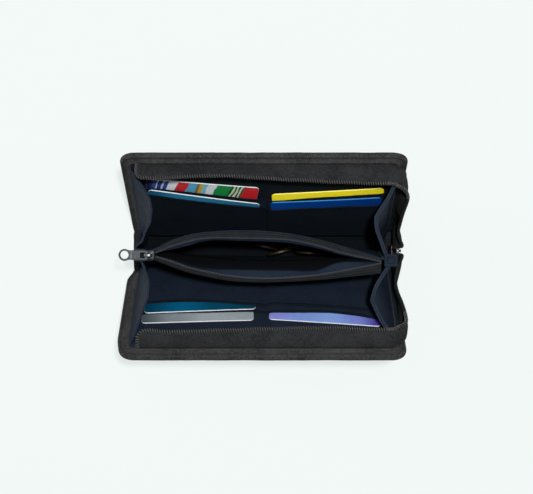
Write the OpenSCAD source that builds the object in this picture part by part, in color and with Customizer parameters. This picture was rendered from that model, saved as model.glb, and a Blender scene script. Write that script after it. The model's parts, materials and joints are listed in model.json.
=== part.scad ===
// Long travel wallet with padded covers, standing open on its spine.
// X runs along the spine, Y from the front cover to the rear cover, Z up from the surface it stands on.
// Each cover is drawn shut, in its own frame, and is then leaned open about its hinge line.
// Lengths are in millimetres and angles in degrees.

/* [Covers] */
// Height of a cover from its hinge line to its rim
cover_h = 107; // [104:1:120]
// Thickness of a padded cover
cover_t = 6; // [5.6:0.1:7]
// Radius of the upper corners of a cover
corner_r = 10; // [6:0.5:14]
// Outer woven skin of a cover
skin_t = 1.2; // [0.8:0.1:1.5]
// Stiffening board in a cover
board_t = 1.2; // [0.8:0.1:1.5]
// Lining of a cover
lining_t = 1.2; // [0.8:0.1:1.5]
// Solid sewn border of the skin round the padding
border_w = 5; // [4:0.5:6]
// Tape that binds the inner edge of a cover
binding_t = 0.8; // [0.5:0.1:1]

/* [Opening] */
// Lean of the rear cover from upright
rear_tilt = 30; // [20:1:35]
// Lean of the front cover from upright
front_tilt = 35; // [20:1:38]
// Half of the space between the shut covers
half_gap = 14; // [13.5:0.1:16]
// Slack kept between parts that move past each other
slack = 0.3; // [0.2:0.05:0.4]

/* [Rim] */
// Width of the bound band above the zip
top_band_w = 7; // [6:0.5:9]
// Width of the bound band on the side without a zip
left_band_w = 4.7; // [4:0.1:5]
// Width of the bound band beside the zip
right_band_w = 1.2; // [1:0.1:2.4]

/* [Main zip] */
// Thickness of the zip tape
tape_t = 0.8; // [0.6:0.1:0.9]
// Width of one side of the coil
coil_w = 3; // [2.6:0.1:3.2]
// Thickness of the coil
coil_t = 2.4; // [2:0.1:2.6]
// Half of the space between the two coils when the zip is shut
coil_gap = 1.2; // [1.1:0.05:1.4]
// Bend of the zip round the corner
zip_corner_r = 12; // [8:0.5:16]
// Distance of the zip's far end from the side without a zip
zip_inset = 12; // [10:0.5:16]
// Width of the folded end of the zip
zip_fold_w = 2.6; // [2:0.1:3]
// Height of the stretch beside the spine that never opens
shut_h = 26.5; // [24:0.5:30]
// Half width of the tape on that stretch
shut_half_w = 12.8; // [11:0.1:12.9]

/* [Sliders] */
// Length of the main slider
slider_l = 10; // [9:0.1:11]
// Length of the coin slider
coin_slider_l = 8.5; // [7.5:0.1:9]
// Width of the coin slider
coin_slider_w = 8.6; // [8:0.1:9.4]
// Thickness of a slider plate
plate_t = 0.9; // [0.7:0.05:1]
// Slit between the flanges of a slider
slit_h = 1.5; // [1.45:0.01:1.6]
// Thickness of a slider flange
flange_t = 0.7; // [0.5:0.05:0.8]
// Width of the wedge that parts the coils
wedge_w = 1.8; // [1.2:0.05:1.8]
// Width of the bridge that holds the pull
bridge_w = 2.4; // [2:0.1:2.6]
// Thickness of the bridge
bridge_t = 0.9; // [0.7:0.05:1]
// Clear height under the bridge
bridge_h = 2.8; // [2.7:0.05:3]

/* [Pulls] */
// Length of a pull from its pivot
pull_l = 21.5; // [19.5:0.1:22]
// Thickness of a pull
pull_t = 1.6; // [1.2:0.1:1.8]
// Width of a pull's shank
shank_w = 7.8; // [7.2:0.1:8.4]
// Outer radius of a pull's eye
eye_r = 4.45; // [4.2:0.05:4.8]
// Radius of the hole in a pull's eye
eye_hole_r = 2.7; // [2.2:0.05:3]
// Length of the window round the bridge
window_l = 4.8; // [4.6:0.05:5.4]
// Width of that window
window_w = 4.4; // [3.8:0.1:4.8]
// Droop of the coin pull from level
pull_droop = 10; // [4:1:11]

/* [Card slots] */
// Length of a card
card_l = 85.6; // [84:0.1:86]
// Height of a card
card_h = 54; // [52:0.1:54]
// Thickness of a card
card_t = 0.76; // [0.6:0.02:0.8]
// Corner radius of a card
card_r = 3.18; // [2:0.1:4]
// Thickness of a slot panel
panel_t = 0.8; // [0.6:0.05:0.9]
// Spare length of a slot beside its card
slot_spare = 7.1; // [6.5:0.1:9]
// Distance of the slots from each end of a cover
slots_inset = 10; // [10:0.5:14]
// Width of a slot's sewn edge
seam_w = 1.5; // [1:0.1:1.7]
// Height of the hem of the outer slots
outer_hem_v = 61; // [56:0.5:64]
// Height of the hem of the inner slots
inner_hem_v = 47; // [42:0.5:50]
// Height of the floor of the outer slots
outer_floor_v = 5; // [4.5:0.1:6]
// Height of the floor of the inner slots
inner_floor_v = 2.2; // [2:0.1:2.3]
// Place of the seam between the two columns of slots
divider_x = 1; // [0.6:0.1:1.2]
// Width of that seam
divider_w = 1.6; // [1:0.1:2]

/* [Coin pocket] */
// Distance of the pocket from each end of the covers
pocket_inset = 17; // [17:0.5:22]
// Half width of the pocket at its foot
foot_half_w = 5; // [4.6:0.1:5.4]
// Half width of the pocket below its lips
belly_half_w = 8.2; // [7.4:0.1:8.6]
// Half width of the mouth between the lips
mouth_half_w = 17; // [14:0.5:19]
// Height of the lips above the stiff walls
lip_h = 24; // [22:0.5:30]
// Lean of the mouth towards the front cover
mouth_lean = 5; // [3:0.1:6]
// Turn of the pocket about the upright
pocket_yaw = 1.2; // [0:0.1:1.4]
// Thickness of the pocket's fabric at its foot
pocket_t = 0.8; // [0.6:0.05:0.9]
// Half of the slit between the walls where they meet
wall_slit = 0.15; // [0.1:0.01:0.2]
// Thickness of the pocket's floor
pocket_floor_t = 1; // [0.6:0.1:1.2]
// Width of the coin zip's tape
coin_tape_w = 4.5; // [3.5:0.1:5]
// Thickness of the coin zip's tape
coin_tape_t = 1; // [0.6:0.1:1]
// Width and height of the coin zip's coil
coin_coil_w = 1.8; // [1.4:0.1:1.8]
// Distance of the parked coin slider's middle from the end of the pocket
coin_slider_inset = 3.25; // [3:0.05:3.5]
// Length of the pocket's sewn side edge
side_seam_l = 2.8; // [2.4:0.1:3]
// Half thickness of that edge
side_seam_half_t = 0.9; // [0.7:0.05:1]
// Width of the end tabs of the coin zip
tab_w = 9.5; // [8:0.1:10]
// Thickness of the end tabs
tab_t = 2; // [1.4:0.1:2.1]
// Length of the right end tab
right_tab_l = 9.9; // [8:0.1:9.9]
// Length of the left end tab
left_tab_l = 7.4; // [6:0.1:8]

/* [Gussets] */
// Distance from the end of a cover of the edge sewn to it
gusset_inset = 5; // [4.8:0.05:5.4]
// Depth of a gusset's bend at its top
gusset_depth = 17; // [14:0.5:18]
// Depth of a gusset's bend at its foot
gusset_foot_depth = 6; // [5.5:0.1:6.5]
// Clear space between a gusset and the pocket's sewn edge
gusset_space = 1.3; // [1:0.1:1.6]
// Thickness of a gusset at its top
gusset_t = 1.1; // [0.8:0.1:1.4]
// Distance of a gusset's top edge below the height of the covers
gusset_drop = 25.7; // [25:0.1:30]
// Height of the binding on a gusset's top edge
gusset_binding_h = 2.4; // [1.6:0.1:2.5]
// Overhang of that binding on each side
gusset_binding_t = 0.4; // [0.3:0.05:0.5]

/* [Spine] */
// Skin under the spine
spine_skin_t = 1.6; // [1.2:0.1:1.8]
// Board in the spine
spine_board_t = 2; // [1.4:0.1:2.2]
// Lining of the spine
spine_lining_t = 1; // [0.6:0.1:1.2]
// Height of the cover's rolled foot above the surface
foot_lift = 0.2; // [0.1:0.05:0.3]

/* [Coins] */
// Thickness of a coin
coin_t = 1.9; // [1.6:0.1:2]
// Radius of the largest coin
coin_r = 12; // [10:0.5:12.5]

/* [Hidden] */
$fn = 64;

// Colours of the finished pieces
shell_black = "#303234";
lining_navy = "#1b2438";
hem_slate = "#3f4859";
zip_black = "#2a2b2c";
coil_grey = "#3a3b3b";
metal_grey = "#8a8e90";
board_grey = "#6b6f73";
foam_grey = "#9a9c9e";
card_mixed = "#7a93b0";
card_teal = "#2a7aa0";
card_yellow = "#d8c81e";
card_blue = "#0b4690";
card_grey = "#8b9399";
card_deep_teal = "#0b6485";
card_lilac = "#7c86d6";

// How far a cut runs past the face that it opens
overrun = 1;
// How far pieces of one solid are sunk into each other
sink = 0.05;

hinge_y = half_gap + cover_t / 2;
hinge_z = cover_t / 2 + foot_lift;
inner_n = -cover_t / 2;
outer_n = cover_t / 2;
padding_t = cover_t - skin_t - board_t - lining_t;
slots_l = 2 * (card_l + slot_spare + seam_w) + divider_w;
cover_l = slots_l + 2 * slots_inset;
half_l = cover_l / 2;

// Zip: outer faces of the tape wall, and the levels of its coil, measured from the cover's mid plane
tape_x = half_l - right_band_w;
tape_v = cover_h - top_band_w;
tape_start_x = -half_l + zip_inset;
coil_foot_n = -(hinge_y - coil_gap - coil_w);
coil_tip_n = -(hinge_y - coil_gap);
coil_proud = (coil_t - tape_t) / 2;
// The stretch on a cover starts where the shut stretch ends
free_v = shut_h + slack;
zip_plane_x = tape_x - tape_t / 2;

// Slots and cards, each behind the next as seen from the middle of the wallet
slot_depth = card_t + 2 * slack;
outer_face_n = inner_n - slot_depth;
inner_back_n = outer_face_n - panel_t;

// Cards: middle of each column, height of the card's foot, and lean in the plane of the cover
left_column_x = (divider_x - divider_w / 2 - slots_l / 2 + seam_w) / 2;
right_column_x = (divider_x + divider_w / 2 + slots_l / 2 - seam_w) / 2;
rear_left_outer_foot_v = 21;
rear_left_inner_foot_v = 9.5;
rear_right_outer_foot_v = 11;
rear_right_inner_foot_v = 7.5;
front_left_outer_foot_v = 16;
front_left_inner_foot_v = 6.5;
front_right_outer_foot_v = 17.5;
rear_left_lean = -8;
rear_right_outer_lean = 6;
rear_right_inner_lean = 5;
front_left_outer_lean = -2.5;
front_left_inner_lean = -3.4;
front_right_lean = 6;

// Spine levels
spine_top_z = spine_skin_t + spine_board_t + spine_lining_t;
spine_half_w = half_gap - slack;
shut_top_z = hinge_z + shut_h;

// Gussets and pocket, whose lips lie just above the gussets' bindings
gusset_top_z = cover_h - gusset_drop;
lip_top_z = gusset_top_z + gusset_binding_h + slack;
wall_top_z = lip_top_z - lip_h;
pocket_half_l = half_l - pocket_inset;
coin_slider_x = pocket_half_l - coin_slider_inset;
pocket_foot_z = spine_top_z + pocket_floor_t;
belly_scale = belly_half_w / foot_half_w;
mouth_scale = mouth_half_w / belly_half_w;
lean_centre_y = mouth_lean / (mouth_scale - 1);
seam_foot_w = wall_slit + pocket_t;
plan_steps = 24;
slider_nose_x = -coin_slider_x + coin_slider_l / 2;
slider_tail_x = -coin_slider_x - coin_slider_l / 2;
lip_start_x = slider_nose_x + slack;
coin_coil_z = lip_top_z + coin_tape_t;

// Sliders
channel_h = coil_t + 2 * slack;
slider_w = 2 * (coil_gap + coil_w + slack + flange_t);
pivot_back = 1.1;
pivot_h = bridge_h / 2;
bar_r = pull_t / 2;
plate_cut = 0.9;
leg_back = 3.2;
leg_front = 2.8;
main_slider_z = shut_top_z - slider_l / 2 - slack;
coin_zip_z = coin_coil_z + coin_coil_w / 2;
coin_channel_h = 2 * (coin_zip_z - lip_top_z + slack);

// Gussets
gusset_edge_x = half_l - gusset_inset;
gusset_centre = gusset_edge_x - gusset_t - pocket_half_l - side_seam_l - gusset_space;
gusset_foot_z = spine_top_z + slack;
bend_share = 0.455;
gusset_half_gap = 0.6;

// Coins: places along the wallet and radii as shares of the largest
coin_x_shares = [0, 1.15, 1.9, 3.05];
coin_y_shares = [1.1, -1.2, 1.05, -1.15];
coin_r_shares = [1, 0.9, 0.82, 0.96];
coin_colours = ["#a8643c", "#b59a58", "#b07a6a", "#a48a4c"];

// Slab between two levels of the cover's depth, from an outline in length and height
module slab(n_low, n_high) {
    translate([0, n_high, 0])
        rotate([90, 0, 0])
            linear_extrude(n_high - n_low)
                children();
}

// Places a shut cover's pieces on the leaning rear cover
module on_rear() {
    translate([0, hinge_y, hinge_z])
        rotate([-rear_tilt, 0, 0])
            children();
}

// Places a shut cover's pieces on the leaning front cover
module on_front() {
    mirror([0, 1, 0])
        translate([0, hinge_y, hinge_z])
            rotate([-front_tilt, 0, 0])
                children();
}

// Outline with both upper corners rounded
module arched_outline(x_low, x_high, v_low, v_high, r) {
    translate([x_low, v_low])
        square([x_high - x_low, v_high - v_low - r]);
    translate([x_low + r, v_low])
        square([x_high - x_low - 2 * r, v_high - v_low]);
    for (x = [x_low + r, x_high - r])
        translate([x, v_high - r])
            circle(r);
}

// Outline with only the upper right corner rounded
module bent_outline(x_low, x_high, v_low, v_high, r) {
    translate([x_low, v_low])
        square([x_high - x_low, v_high - v_low - r]);
    translate([x_low, v_low])
        square([x_high - x_low - r, v_high - v_low]);
    translate([x_high - r, v_high - r])
        circle(r);
}

module cover_outline() {
    arched_outline(-half_l, half_l, 0, cover_h, corner_r);
}

module filling_outline() {
    arched_outline(-half_l + border_w, half_l - border_w, border_w, cover_h - top_band_w, corner_r / 2);
}

// Outer skin of a cover: a tray that the padding, the board and the lining fill
module cover_skin() {
    color(shell_black)
        difference() {
            union() {
                slab(inner_n, outer_n)
                    cover_outline();
                rotate([0, 90, 0])
                    cylinder(h = cover_l, r = cover_t / 2, center = true);
            }
            slab(inner_n - overrun, outer_n - skin_t)
                filling_outline();
        }
}

module cover_padding() {
    color(foam_grey)
        slab(outer_n - skin_t - padding_t, outer_n - skin_t)
            filling_outline();
}

module cover_board() {
    color(board_grey)
        slab(inner_n + lining_t, inner_n + lining_t + board_t)
            filling_outline();
}

module cover_lining() {
    color(lining_navy)
        slab(inner_n, inner_n + lining_t)
            filling_outline();
}

// Bound band round the inner edge of a cover, open towards the spine
module edge_binding() {
    color(shell_black)
        slab(inner_n - binding_t, inner_n)
            difference() {
                arched_outline(-half_l, half_l, border_w, cover_h, corner_r);
                bent_outline(-half_l + left_band_w, tape_x, border_w - overrun, tape_v, zip_corner_r);
            }
}

// Strip that follows the zip along the top and down the right side
module zip_path_outline(proud) {
    difference() {
        bent_outline(tape_start_x, tape_x + proud, free_v, tape_v + proud, zip_corner_r + proud);
        bent_outline(tape_start_x - overrun, tape_x - tape_t - proud,
            free_v - overrun, tape_v - tape_t - proud, zip_corner_r - tape_t - proud);
    }
}

module zip_tape() {
    color(zip_black)
        slab(coil_foot_n, inner_n)
            zip_path_outline(0);
}

module zip_coil() {
    color(coil_grey)
        slab(coil_tip_n, coil_foot_n)
            zip_path_outline(coil_proud);
}

// End of the zip, turned back and sewn down
module zip_fold() {
    color(zip_black)
        slab(coil_tip_n, inner_n)
            translate([tape_start_x - zip_fold_w, tape_v - 2 * tape_t])
                square([zip_fold_w, 2 * tape_t]);
}

// Panel of two slots with its sewn edges, in front of a backing face
module slot_panel(back_n, hem_v, floor_v) {
    face_n = back_n - slot_depth;
    slots_x = slots_l / 2;
    slab(face_n - panel_t, face_n)
        translate([-slots_x, floor_v])
            square([slots_l, hem_v - floor_v]);
    slab(face_n - sink, back_n) {
        translate([-slots_x, floor_v])
            square([slots_l, seam_w]);
        for (x = [-slots_x, slots_x - seam_w])
            translate([x, floor_v])
                square([seam_w, hem_v - floor_v]);
        translate([divider_x - divider_w / 2, floor_v])
            square([divider_w, hem_v - floor_v]);
    }
}

module outer_slots() {
    color(lining_navy)
        slot_panel(inner_n, outer_hem_v, outer_floor_v);
}

module inner_slots() {
    color(lining_navy)
        slot_panel(inner_back_n, inner_hem_v, inner_floor_v);
}

// Card standing in a slot
module card(face_colour, back_n, x, foot_v, lean) {
    color(face_colour)
        slab(back_n - slack - card_t, back_n - slack)
            translate([x, foot_v + card_h / 2])
                rotate(lean)
                    card_outline();
}

// A long and a tall bar with four round corners
module card_outline() {
    square([card_l - 2 * card_r, card_h], center = true);
    square([card_l, card_h - 2 * card_r], center = true);
    for (x = [-1, 1])
        for (v = [-1, 1])
            translate([x * (card_l / 2 - card_r), v * (card_h / 2 - card_r)])
                circle(card_r);
}

// Body of a zip slider: the coil runs along X through the channel between the plates
module slider_body(l, w, channel) {
    for (side = [-1, 1])
        mirror([0, 0, side < 0 ? 1 : 0]) {
            translate([0, 0, channel / 2])
                linear_extrude(plate_t)
                    slider_outline(l, w, side > 0 ? plate_cut : 0);
            for (m = [-1, 1])
                translate([-l / 2 + plate_cut, m * (w - flange_t) / 2 - flange_t / 2, slit_h / 2])
                    cube([l - plate_cut - w / 4, flange_t, channel / 2 - slit_h / 2 + sink]);
        }
    translate([l / 8, -wedge_w / 2, -channel / 2 - sink])
        cube([l / 4, wedge_w, channel + 2 * sink]);
    translate([0, 0, channel / 2 + plate_t])
        bridge();
}

// Plate of a slider, with two round shoulders at its nose
module slider_outline(l, w, cut) {
    translate([-l / 2 + cut, -w / 2])
        square([l - cut - w / 4, w]);
    for (m = [-1, 1])
        translate([l / 2 - w / 4, m * w / 4])
            circle(w / 4);
}

// Arch that holds the pull
module bridge() {
    for (x = [-leg_back, leg_front - bridge_t])
        translate([x, -bridge_w / 2, -sink])
            cube([bridge_t, bridge_w, bridge_h + bridge_t + sink]);
    translate([-leg_back, -bridge_w / 2, bridge_h])
        cube([leg_back + leg_front, bridge_w, bridge_t]);
}

// Pull with an eye, hung by a round bar on the Y axis
module pull() {
    eye_x = -pull_l + eye_r;
    rotate([90, 0, 0])
        cylinder(h = shank_w, r = bar_r, center = true);
    translate([0, 0, -pull_t / 2])
        linear_extrude(pull_t)
            difference() {
                union() {
                    translate([eye_x, -shank_w / 2])
                        square([-eye_x, shank_w]);
                    translate([eye_x, 0])
                        circle(eye_r);
                }
                translate([eye_x, 0])
                    circle(eye_hole_r);
                translate([-window_l, -window_w / 2])
                    square([window_l - bar_r, window_w]);
            }
}

// Half of the pocket's plan at a place along it, outside the fabric
function plan_y(x, half_w) = seam_foot_w + (half_w - seam_foot_w) * (1 - pow(x / pocket_half_l, 2));

// Band of fabric along the pocket's plan
module plan_band(x_start, half_w, t) {
    xs = [for (i = [0:plan_steps]) x_start + (pocket_half_l - x_start) * i / plan_steps];
    polygon(concat(
        [for (x = xs) [x, plan_y(x, half_w)]],
        [for (i = [plan_steps:-1:0]) [xs[i], plan_y(xs[i], half_w) - t]]
    ));
}

// Turns the pocket's pieces with the pocket
module in_pocket() {
    rotate([0, 0, -pocket_yaw])
        children();
}

module pocket_floor() {
    xs = [for (i = [-plan_steps:plan_steps]) pocket_half_l * i / plan_steps];
    color(lining_navy)
        translate([0, 0, spine_top_z])
            linear_extrude(pocket_floor_t)
                polygon(concat(
                    [for (x = xs) [x, plan_y(x, foot_half_w)]],
                    [for (x = xs) [-x, -plan_y(x, foot_half_w)]]
                ));
}

// Stiff lower wall of the pocket, on the rear side or mirrored to the front
module pocket_wall(side) {
    color(lining_navy)
        mirror([0, side, 0])
            translate([0, 0, pocket_foot_z])
                linear_extrude(wall_top_z - pocket_foot_z, scale = [1, belly_scale],
                    slices = 1, segments = 1)
                    plan_band(-pocket_half_l, foot_half_w, pocket_t);
}

// Lip that rises from the wall, spreads and leans to the front
module pocket_lip(side) {
    color(lining_navy)
        translate([0, lean_centre_y, wall_top_z])
            linear_extrude(lip_top_z - wall_top_z, scale = [1, mouth_scale], slices = 1, segments = 1)
                translate([0, -lean_centre_y])
                    mirror([0, side])
                        plan_band(lip_start_x, belly_half_w, pocket_t);
}

// Outer and inner edge of the coin zip on the rear side, measured from the middle of the mouth
function mouth_y(x) = mouth_scale * plan_y(x, belly_half_w);
function mouth_inner_y(x) = max(mouth_y(x) - coin_tape_w, wall_slit);

module mouth_band(side, to_coil) {
    xs = [for (i = [0:plan_steps]) lip_start_x + (pocket_half_l - lip_start_x) * i / plan_steps];
    translate([0, -mouth_lean])
        mirror([0, side])
            polygon(concat(
                [for (x = xs) [x, to_coil ? mouth_inner_y(x) + coin_coil_w : mouth_y(x)]],
                [for (i = [plan_steps:-1:0]) [xs[i], mouth_inner_y(xs[i])]]
            ));
}

module coin_tape(side) {
    color(zip_black)
        translate([0, 0, lip_top_z])
            linear_extrude(coin_tape_t)
                mouth_band(side, false);
}

module coin_coil(side) {
    color(coil_grey)
        translate([0, 0, coin_coil_z])
            linear_extrude(coin_coil_w)
                mouth_band(side, true);
}

// Sewn side edge of the pocket, upright beside the walls and leaning beside the lips
module side_seam(m, upper_x) {
    bend_z = wall_top_z + slack;
    top_z = lip_top_z - plate_t - 2 * slack;
    top_y = -mouth_lean * (top_z - bend_z) / (lip_top_z - wall_top_z);
    lower_x = pocket_half_l + slack;
    end_x = pocket_half_l + side_seam_l;
    color(hem_slate)
        mirror([m, 0, 0])
            difference() {
                translate([upper_x, 0, 0])
                    rotate([90, 0, 90])
                        linear_extrude(end_x - upper_x)
                            polygon([
                                [-side_seam_half_t, spine_top_z],
                                [side_seam_half_t, spine_top_z],
                                [side_seam_half_t, bend_z],
                                [top_y + side_seam_half_t, top_z],
                                [top_y - side_seam_half_t, top_z],
                                [-side_seam_half_t, bend_z]
                            ]);
                if (upper_x < lower_x)
                    translate([upper_x - overrun, -tab_w / 2, 0])
                        cube([lower_x - upper_x + overrun, tab_w, bend_z]);
            }
}

// Fabric square that closes an end of the coin zip
module end_tab(x_start, l) {
    color(hem_slate)
        translate([x_start, -mouth_lean - tab_w / 2, lip_top_z])
            cube([l, tab_w, tab_t]);
}

// Distance of a leaning cover's inner face from the middle, at a height
function face_y(z, tilt) = hinge_y + tan(tilt) * (z - hinge_z) - (cover_t / 2 + slack) / cos(tilt);

// Place across the wallet of a gusset's centre seam, in line with the pocket's end
function gusset_mid_y(m) = (2 * m - 1) * pocket_half_l * sin(pocket_yaw) - mouth_lean;

// Plan of half a gusset: sewn edge, fold and centre seam, measured from the sewn edge
module gusset_plan(edge_y, centre_y, depth, centre, t, proud) {
    polygon([
        [-proud, edge_y],
        [-depth - proud, edge_y * bend_share],
        [-centre - proud, centre_y],
        [-centre + t + proud, centre_y],
        [-depth + t + 2 * proud, edge_y * bend_share],
        [t + proud, edge_y]
    ]);
}

// Half a gusset, narrowing towards the spine; m is 1 for the left end and side is 1 for the rear
module gusset(m, side, tilt) {
    foot_y = face_y(gusset_foot_z, tilt);
    spread = face_y(gusset_top_z, tilt) / foot_y;
    depth_scale = gusset_depth / gusset_foot_depth;
    centre_y = gusset_mid_y(m) * side + gusset_half_gap;
    color(lining_navy)
        mirror([m, 0, 0])
            mirror([0, side > 0 ? 0 : 1, 0])
                translate([gusset_edge_x - gusset_t, 0, gusset_foot_z])
                    linear_extrude(gusset_top_z - gusset_foot_z, scale = [depth_scale, spread],
                        slices = 1, segments = 1)
                        gusset_plan(foot_y, centre_y / spread, gusset_foot_depth,
                            gusset_centre / depth_scale, gusset_t / depth_scale, 0);
}

// Binding along the top edge of half a gusset
module gusset_hem(m, side, tilt) {
    centre_y = gusset_mid_y(m) * side + gusset_half_gap;
    color(hem_slate)
        mirror([m, 0, 0])
            mirror([0, side > 0 ? 0 : 1, 0])
                translate([gusset_edge_x - gusset_t, 0, gusset_top_z])
                    linear_extrude(gusset_binding_h)
                        gusset_plan(face_y(gusset_top_z, tilt), centre_y, gusset_depth,
                            gusset_centre, gusset_t, gusset_binding_t);
}

module spine_slab(z_low, t, half_w) {
    translate([-half_l, -half_w, z_low])
        cube([cover_l, 2 * half_w, t]);
}

// Stretch of the main zip beside the spine that stays shut
module shut_stretch(x_low, t, y_low, y_high) {
    for (side = [0, 1])
        mirror([0, side, 0])
            translate([x_low, y_low, spine_top_z])
                cube([t, y_high - y_low, shut_top_z - spine_top_z]);
}

module spine_skin() {
    color(shell_black)
        spine_slab(0, spine_skin_t, spine_half_w);
}

module spine_board() {
    color(board_grey)
        spine_slab(spine_skin_t, spine_board_t, spine_half_w);
}

module spine_lining() {
    color(lining_navy)
        spine_slab(spine_skin_t + spine_board_t, spine_lining_t, spine_half_w);
}

module shut_zip_tape() {
    color(zip_black)
        shut_stretch(zip_plane_x - tape_t / 2, tape_t, coil_gap + coil_w, shut_half_w);
}

module shut_zip_coil() {
    color(coil_grey)
        shut_stretch(zip_plane_x - coil_t / 2, coil_t, coil_gap, coil_gap + coil_w);
}

// The main slider stands upright on the right side, with its bridge outwards
module on_main_slider() {
    translate([zip_plane_x, 0, main_slider_z])
        rotate([0, -90, 0])
            rotate([180, 0, 0])
                children();
}

module main_slider() {
    color(metal_grey)
        on_main_slider()
            slider_body(slider_l, slider_w, channel_h);
}

module main_pull() {
    color(metal_grey)
        on_main_slider()
            translate([-pivot_back, 0, channel_h / 2 + plate_t + pivot_h])
                pull();
}

module on_coin_slider() {
    in_pocket()
        translate([-coin_slider_x, -mouth_lean, coin_zip_z])
            children();
}

module coin_slider() {
    color(metal_grey)
        on_coin_slider()
            slider_body(coin_slider_l, coin_slider_w, coin_channel_h);
}

module coin_pull() {
    color(metal_grey)
        on_coin_slider()
            translate([-pivot_back, 0, coin_channel_h / 2 + plate_t + pivot_h])
                rotate([0, -pull_droop, 0])
                    pull();
}

module coins() {
    in_pocket()
        for (i = [0:len(coin_x_shares) - 1])
            color(coin_colours[i])
                translate([coin_x_shares[i] * coin_r, coin_y_shares[i] * coin_t,
                        pocket_foot_z + coin_r_shares[i] * coin_r])
                    rotate([90, 0, 0])
                        cylinder(h = coin_t, r = coin_r_shares[i] * coin_r, center = true);
}

spine_skin();
spine_board();
spine_lining();
on_rear() cover_skin();  // rear_cover_skin
on_rear() cover_padding();  // rear_cover_padding
on_rear() cover_board();  // rear_cover_board
on_rear() cover_lining();  // rear_cover_lining
on_rear() edge_binding();  // rear_edge_binding
on_rear() outer_slots();  // rear_outer_slots
on_rear() inner_slots();  // rear_inner_slots
on_rear() zip_tape();  // rear_zip_tape
on_rear() zip_coil();  // rear_zip_coil
on_rear() zip_fold();  // rear_zip_fold
on_front() cover_skin();  // front_cover_skin
on_front() cover_padding();  // front_cover_padding
on_front() cover_board();  // front_cover_board
on_front() cover_lining();  // front_cover_lining
on_front() edge_binding();  // front_edge_binding
on_front() outer_slots();  // front_outer_slots
on_front() inner_slots();  // front_inner_slots
on_front() zip_tape();  // front_zip_tape
on_front() zip_coil();  // front_zip_coil
on_front() zip_fold();  // front_zip_fold
shut_zip_tape();
shut_zip_coil();
main_slider();
main_pull();
coin_slider();
coin_pull();
in_pocket() pocket_floor();  // coin_pocket_floor
in_pocket() pocket_wall(0);  // coin_rear_wall
in_pocket() pocket_wall(1);  // coin_front_wall
in_pocket() pocket_lip(0);  // coin_rear_lip
in_pocket() pocket_lip(1);  // coin_front_lip
in_pocket() coin_tape(0);  // coin_rear_tape
in_pocket() coin_tape(1);  // coin_front_tape
in_pocket() coin_coil(0);  // coin_rear_coil
in_pocket() coin_coil(1);  // coin_front_coil
in_pocket() side_seam(1, -lip_start_x + slack);  // coin_left_seam
in_pocket() side_seam(0, pocket_half_l + slack);  // coin_right_seam
in_pocket() end_tab(slider_tail_x - slack - left_tab_l, left_tab_l);  // coin_left_tab
in_pocket() end_tab(pocket_half_l + slack, right_tab_l);  // coin_right_tab
gusset(1, 1, rear_tilt);  // left_rear_gusset
gusset(1, -1, front_tilt);  // left_front_gusset
gusset(0, 1, rear_tilt);  // right_rear_gusset
gusset(0, -1, front_tilt);  // right_front_gusset
gusset_hem(1, 1, rear_tilt);  // left_rear_hem
gusset_hem(1, -1, front_tilt);  // left_front_hem
gusset_hem(0, 1, rear_tilt);  // right_rear_hem
gusset_hem(0, -1, front_tilt);  // right_front_hem
on_rear() card(card_mixed, inner_n, left_column_x, rear_left_outer_foot_v, rear_left_lean);  // rear_left_outer_card
on_rear() card(card_teal, inner_back_n, left_column_x, rear_left_inner_foot_v, rear_left_lean);  // rear_left_inner_card
on_rear() card(card_yellow, inner_n, right_column_x, rear_right_outer_foot_v, rear_right_outer_lean);  // rear_right_outer_card
on_rear() card(card_blue, inner_back_n, right_column_x, rear_right_inner_foot_v, rear_right_inner_lean);  // rear_right_inner_card
on_front() card(card_grey, inner_n, left_column_x, front_left_outer_foot_v, front_left_outer_lean);  // front_left_outer_card
on_front()  // front_left_inner_card
        card(card_deep_teal, inner_back_n, left_column_x, front_left_inner_foot_v, front_left_inner_lean);
on_front() card(card_lilac, inner_n, right_column_x, front_right_outer_foot_v, front_right_lean);  // front_right_outer_card
coins();
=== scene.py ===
"""Long zip wallet, standing open: the visible pieces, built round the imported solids."""

import bisect
import json
import math

import bmesh
import bpy
from mathutils import Matrix, Vector, noise


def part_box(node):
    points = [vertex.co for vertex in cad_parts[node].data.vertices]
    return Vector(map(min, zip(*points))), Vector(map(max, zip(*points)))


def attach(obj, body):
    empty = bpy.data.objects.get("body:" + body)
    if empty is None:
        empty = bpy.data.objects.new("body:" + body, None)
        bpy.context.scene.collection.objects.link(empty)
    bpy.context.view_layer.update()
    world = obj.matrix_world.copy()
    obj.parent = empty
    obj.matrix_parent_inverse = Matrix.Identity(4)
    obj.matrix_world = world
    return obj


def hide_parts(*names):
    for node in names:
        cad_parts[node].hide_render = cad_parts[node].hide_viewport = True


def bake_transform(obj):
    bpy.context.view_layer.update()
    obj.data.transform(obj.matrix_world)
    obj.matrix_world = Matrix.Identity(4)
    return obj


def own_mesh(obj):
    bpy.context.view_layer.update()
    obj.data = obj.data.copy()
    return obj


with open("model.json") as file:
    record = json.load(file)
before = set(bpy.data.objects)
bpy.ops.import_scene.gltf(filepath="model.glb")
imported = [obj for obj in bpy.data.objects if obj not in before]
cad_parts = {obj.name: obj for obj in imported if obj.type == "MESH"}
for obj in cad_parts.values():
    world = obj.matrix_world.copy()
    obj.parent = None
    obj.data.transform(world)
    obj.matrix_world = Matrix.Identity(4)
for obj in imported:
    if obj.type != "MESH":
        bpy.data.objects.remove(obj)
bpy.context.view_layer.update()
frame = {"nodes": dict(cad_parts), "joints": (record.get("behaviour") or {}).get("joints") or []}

bl_info = {
    "name": "Long zip wallet",
    "version": (1, 0, 0),
    "blender": (4, 5, 0),
    "location": "View3D > Sidebar > Wallet",
    "description": "Builds a long zip wallet with card slots, gussets and a zipped coin pocket",
    "category": "Object",
}

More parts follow.
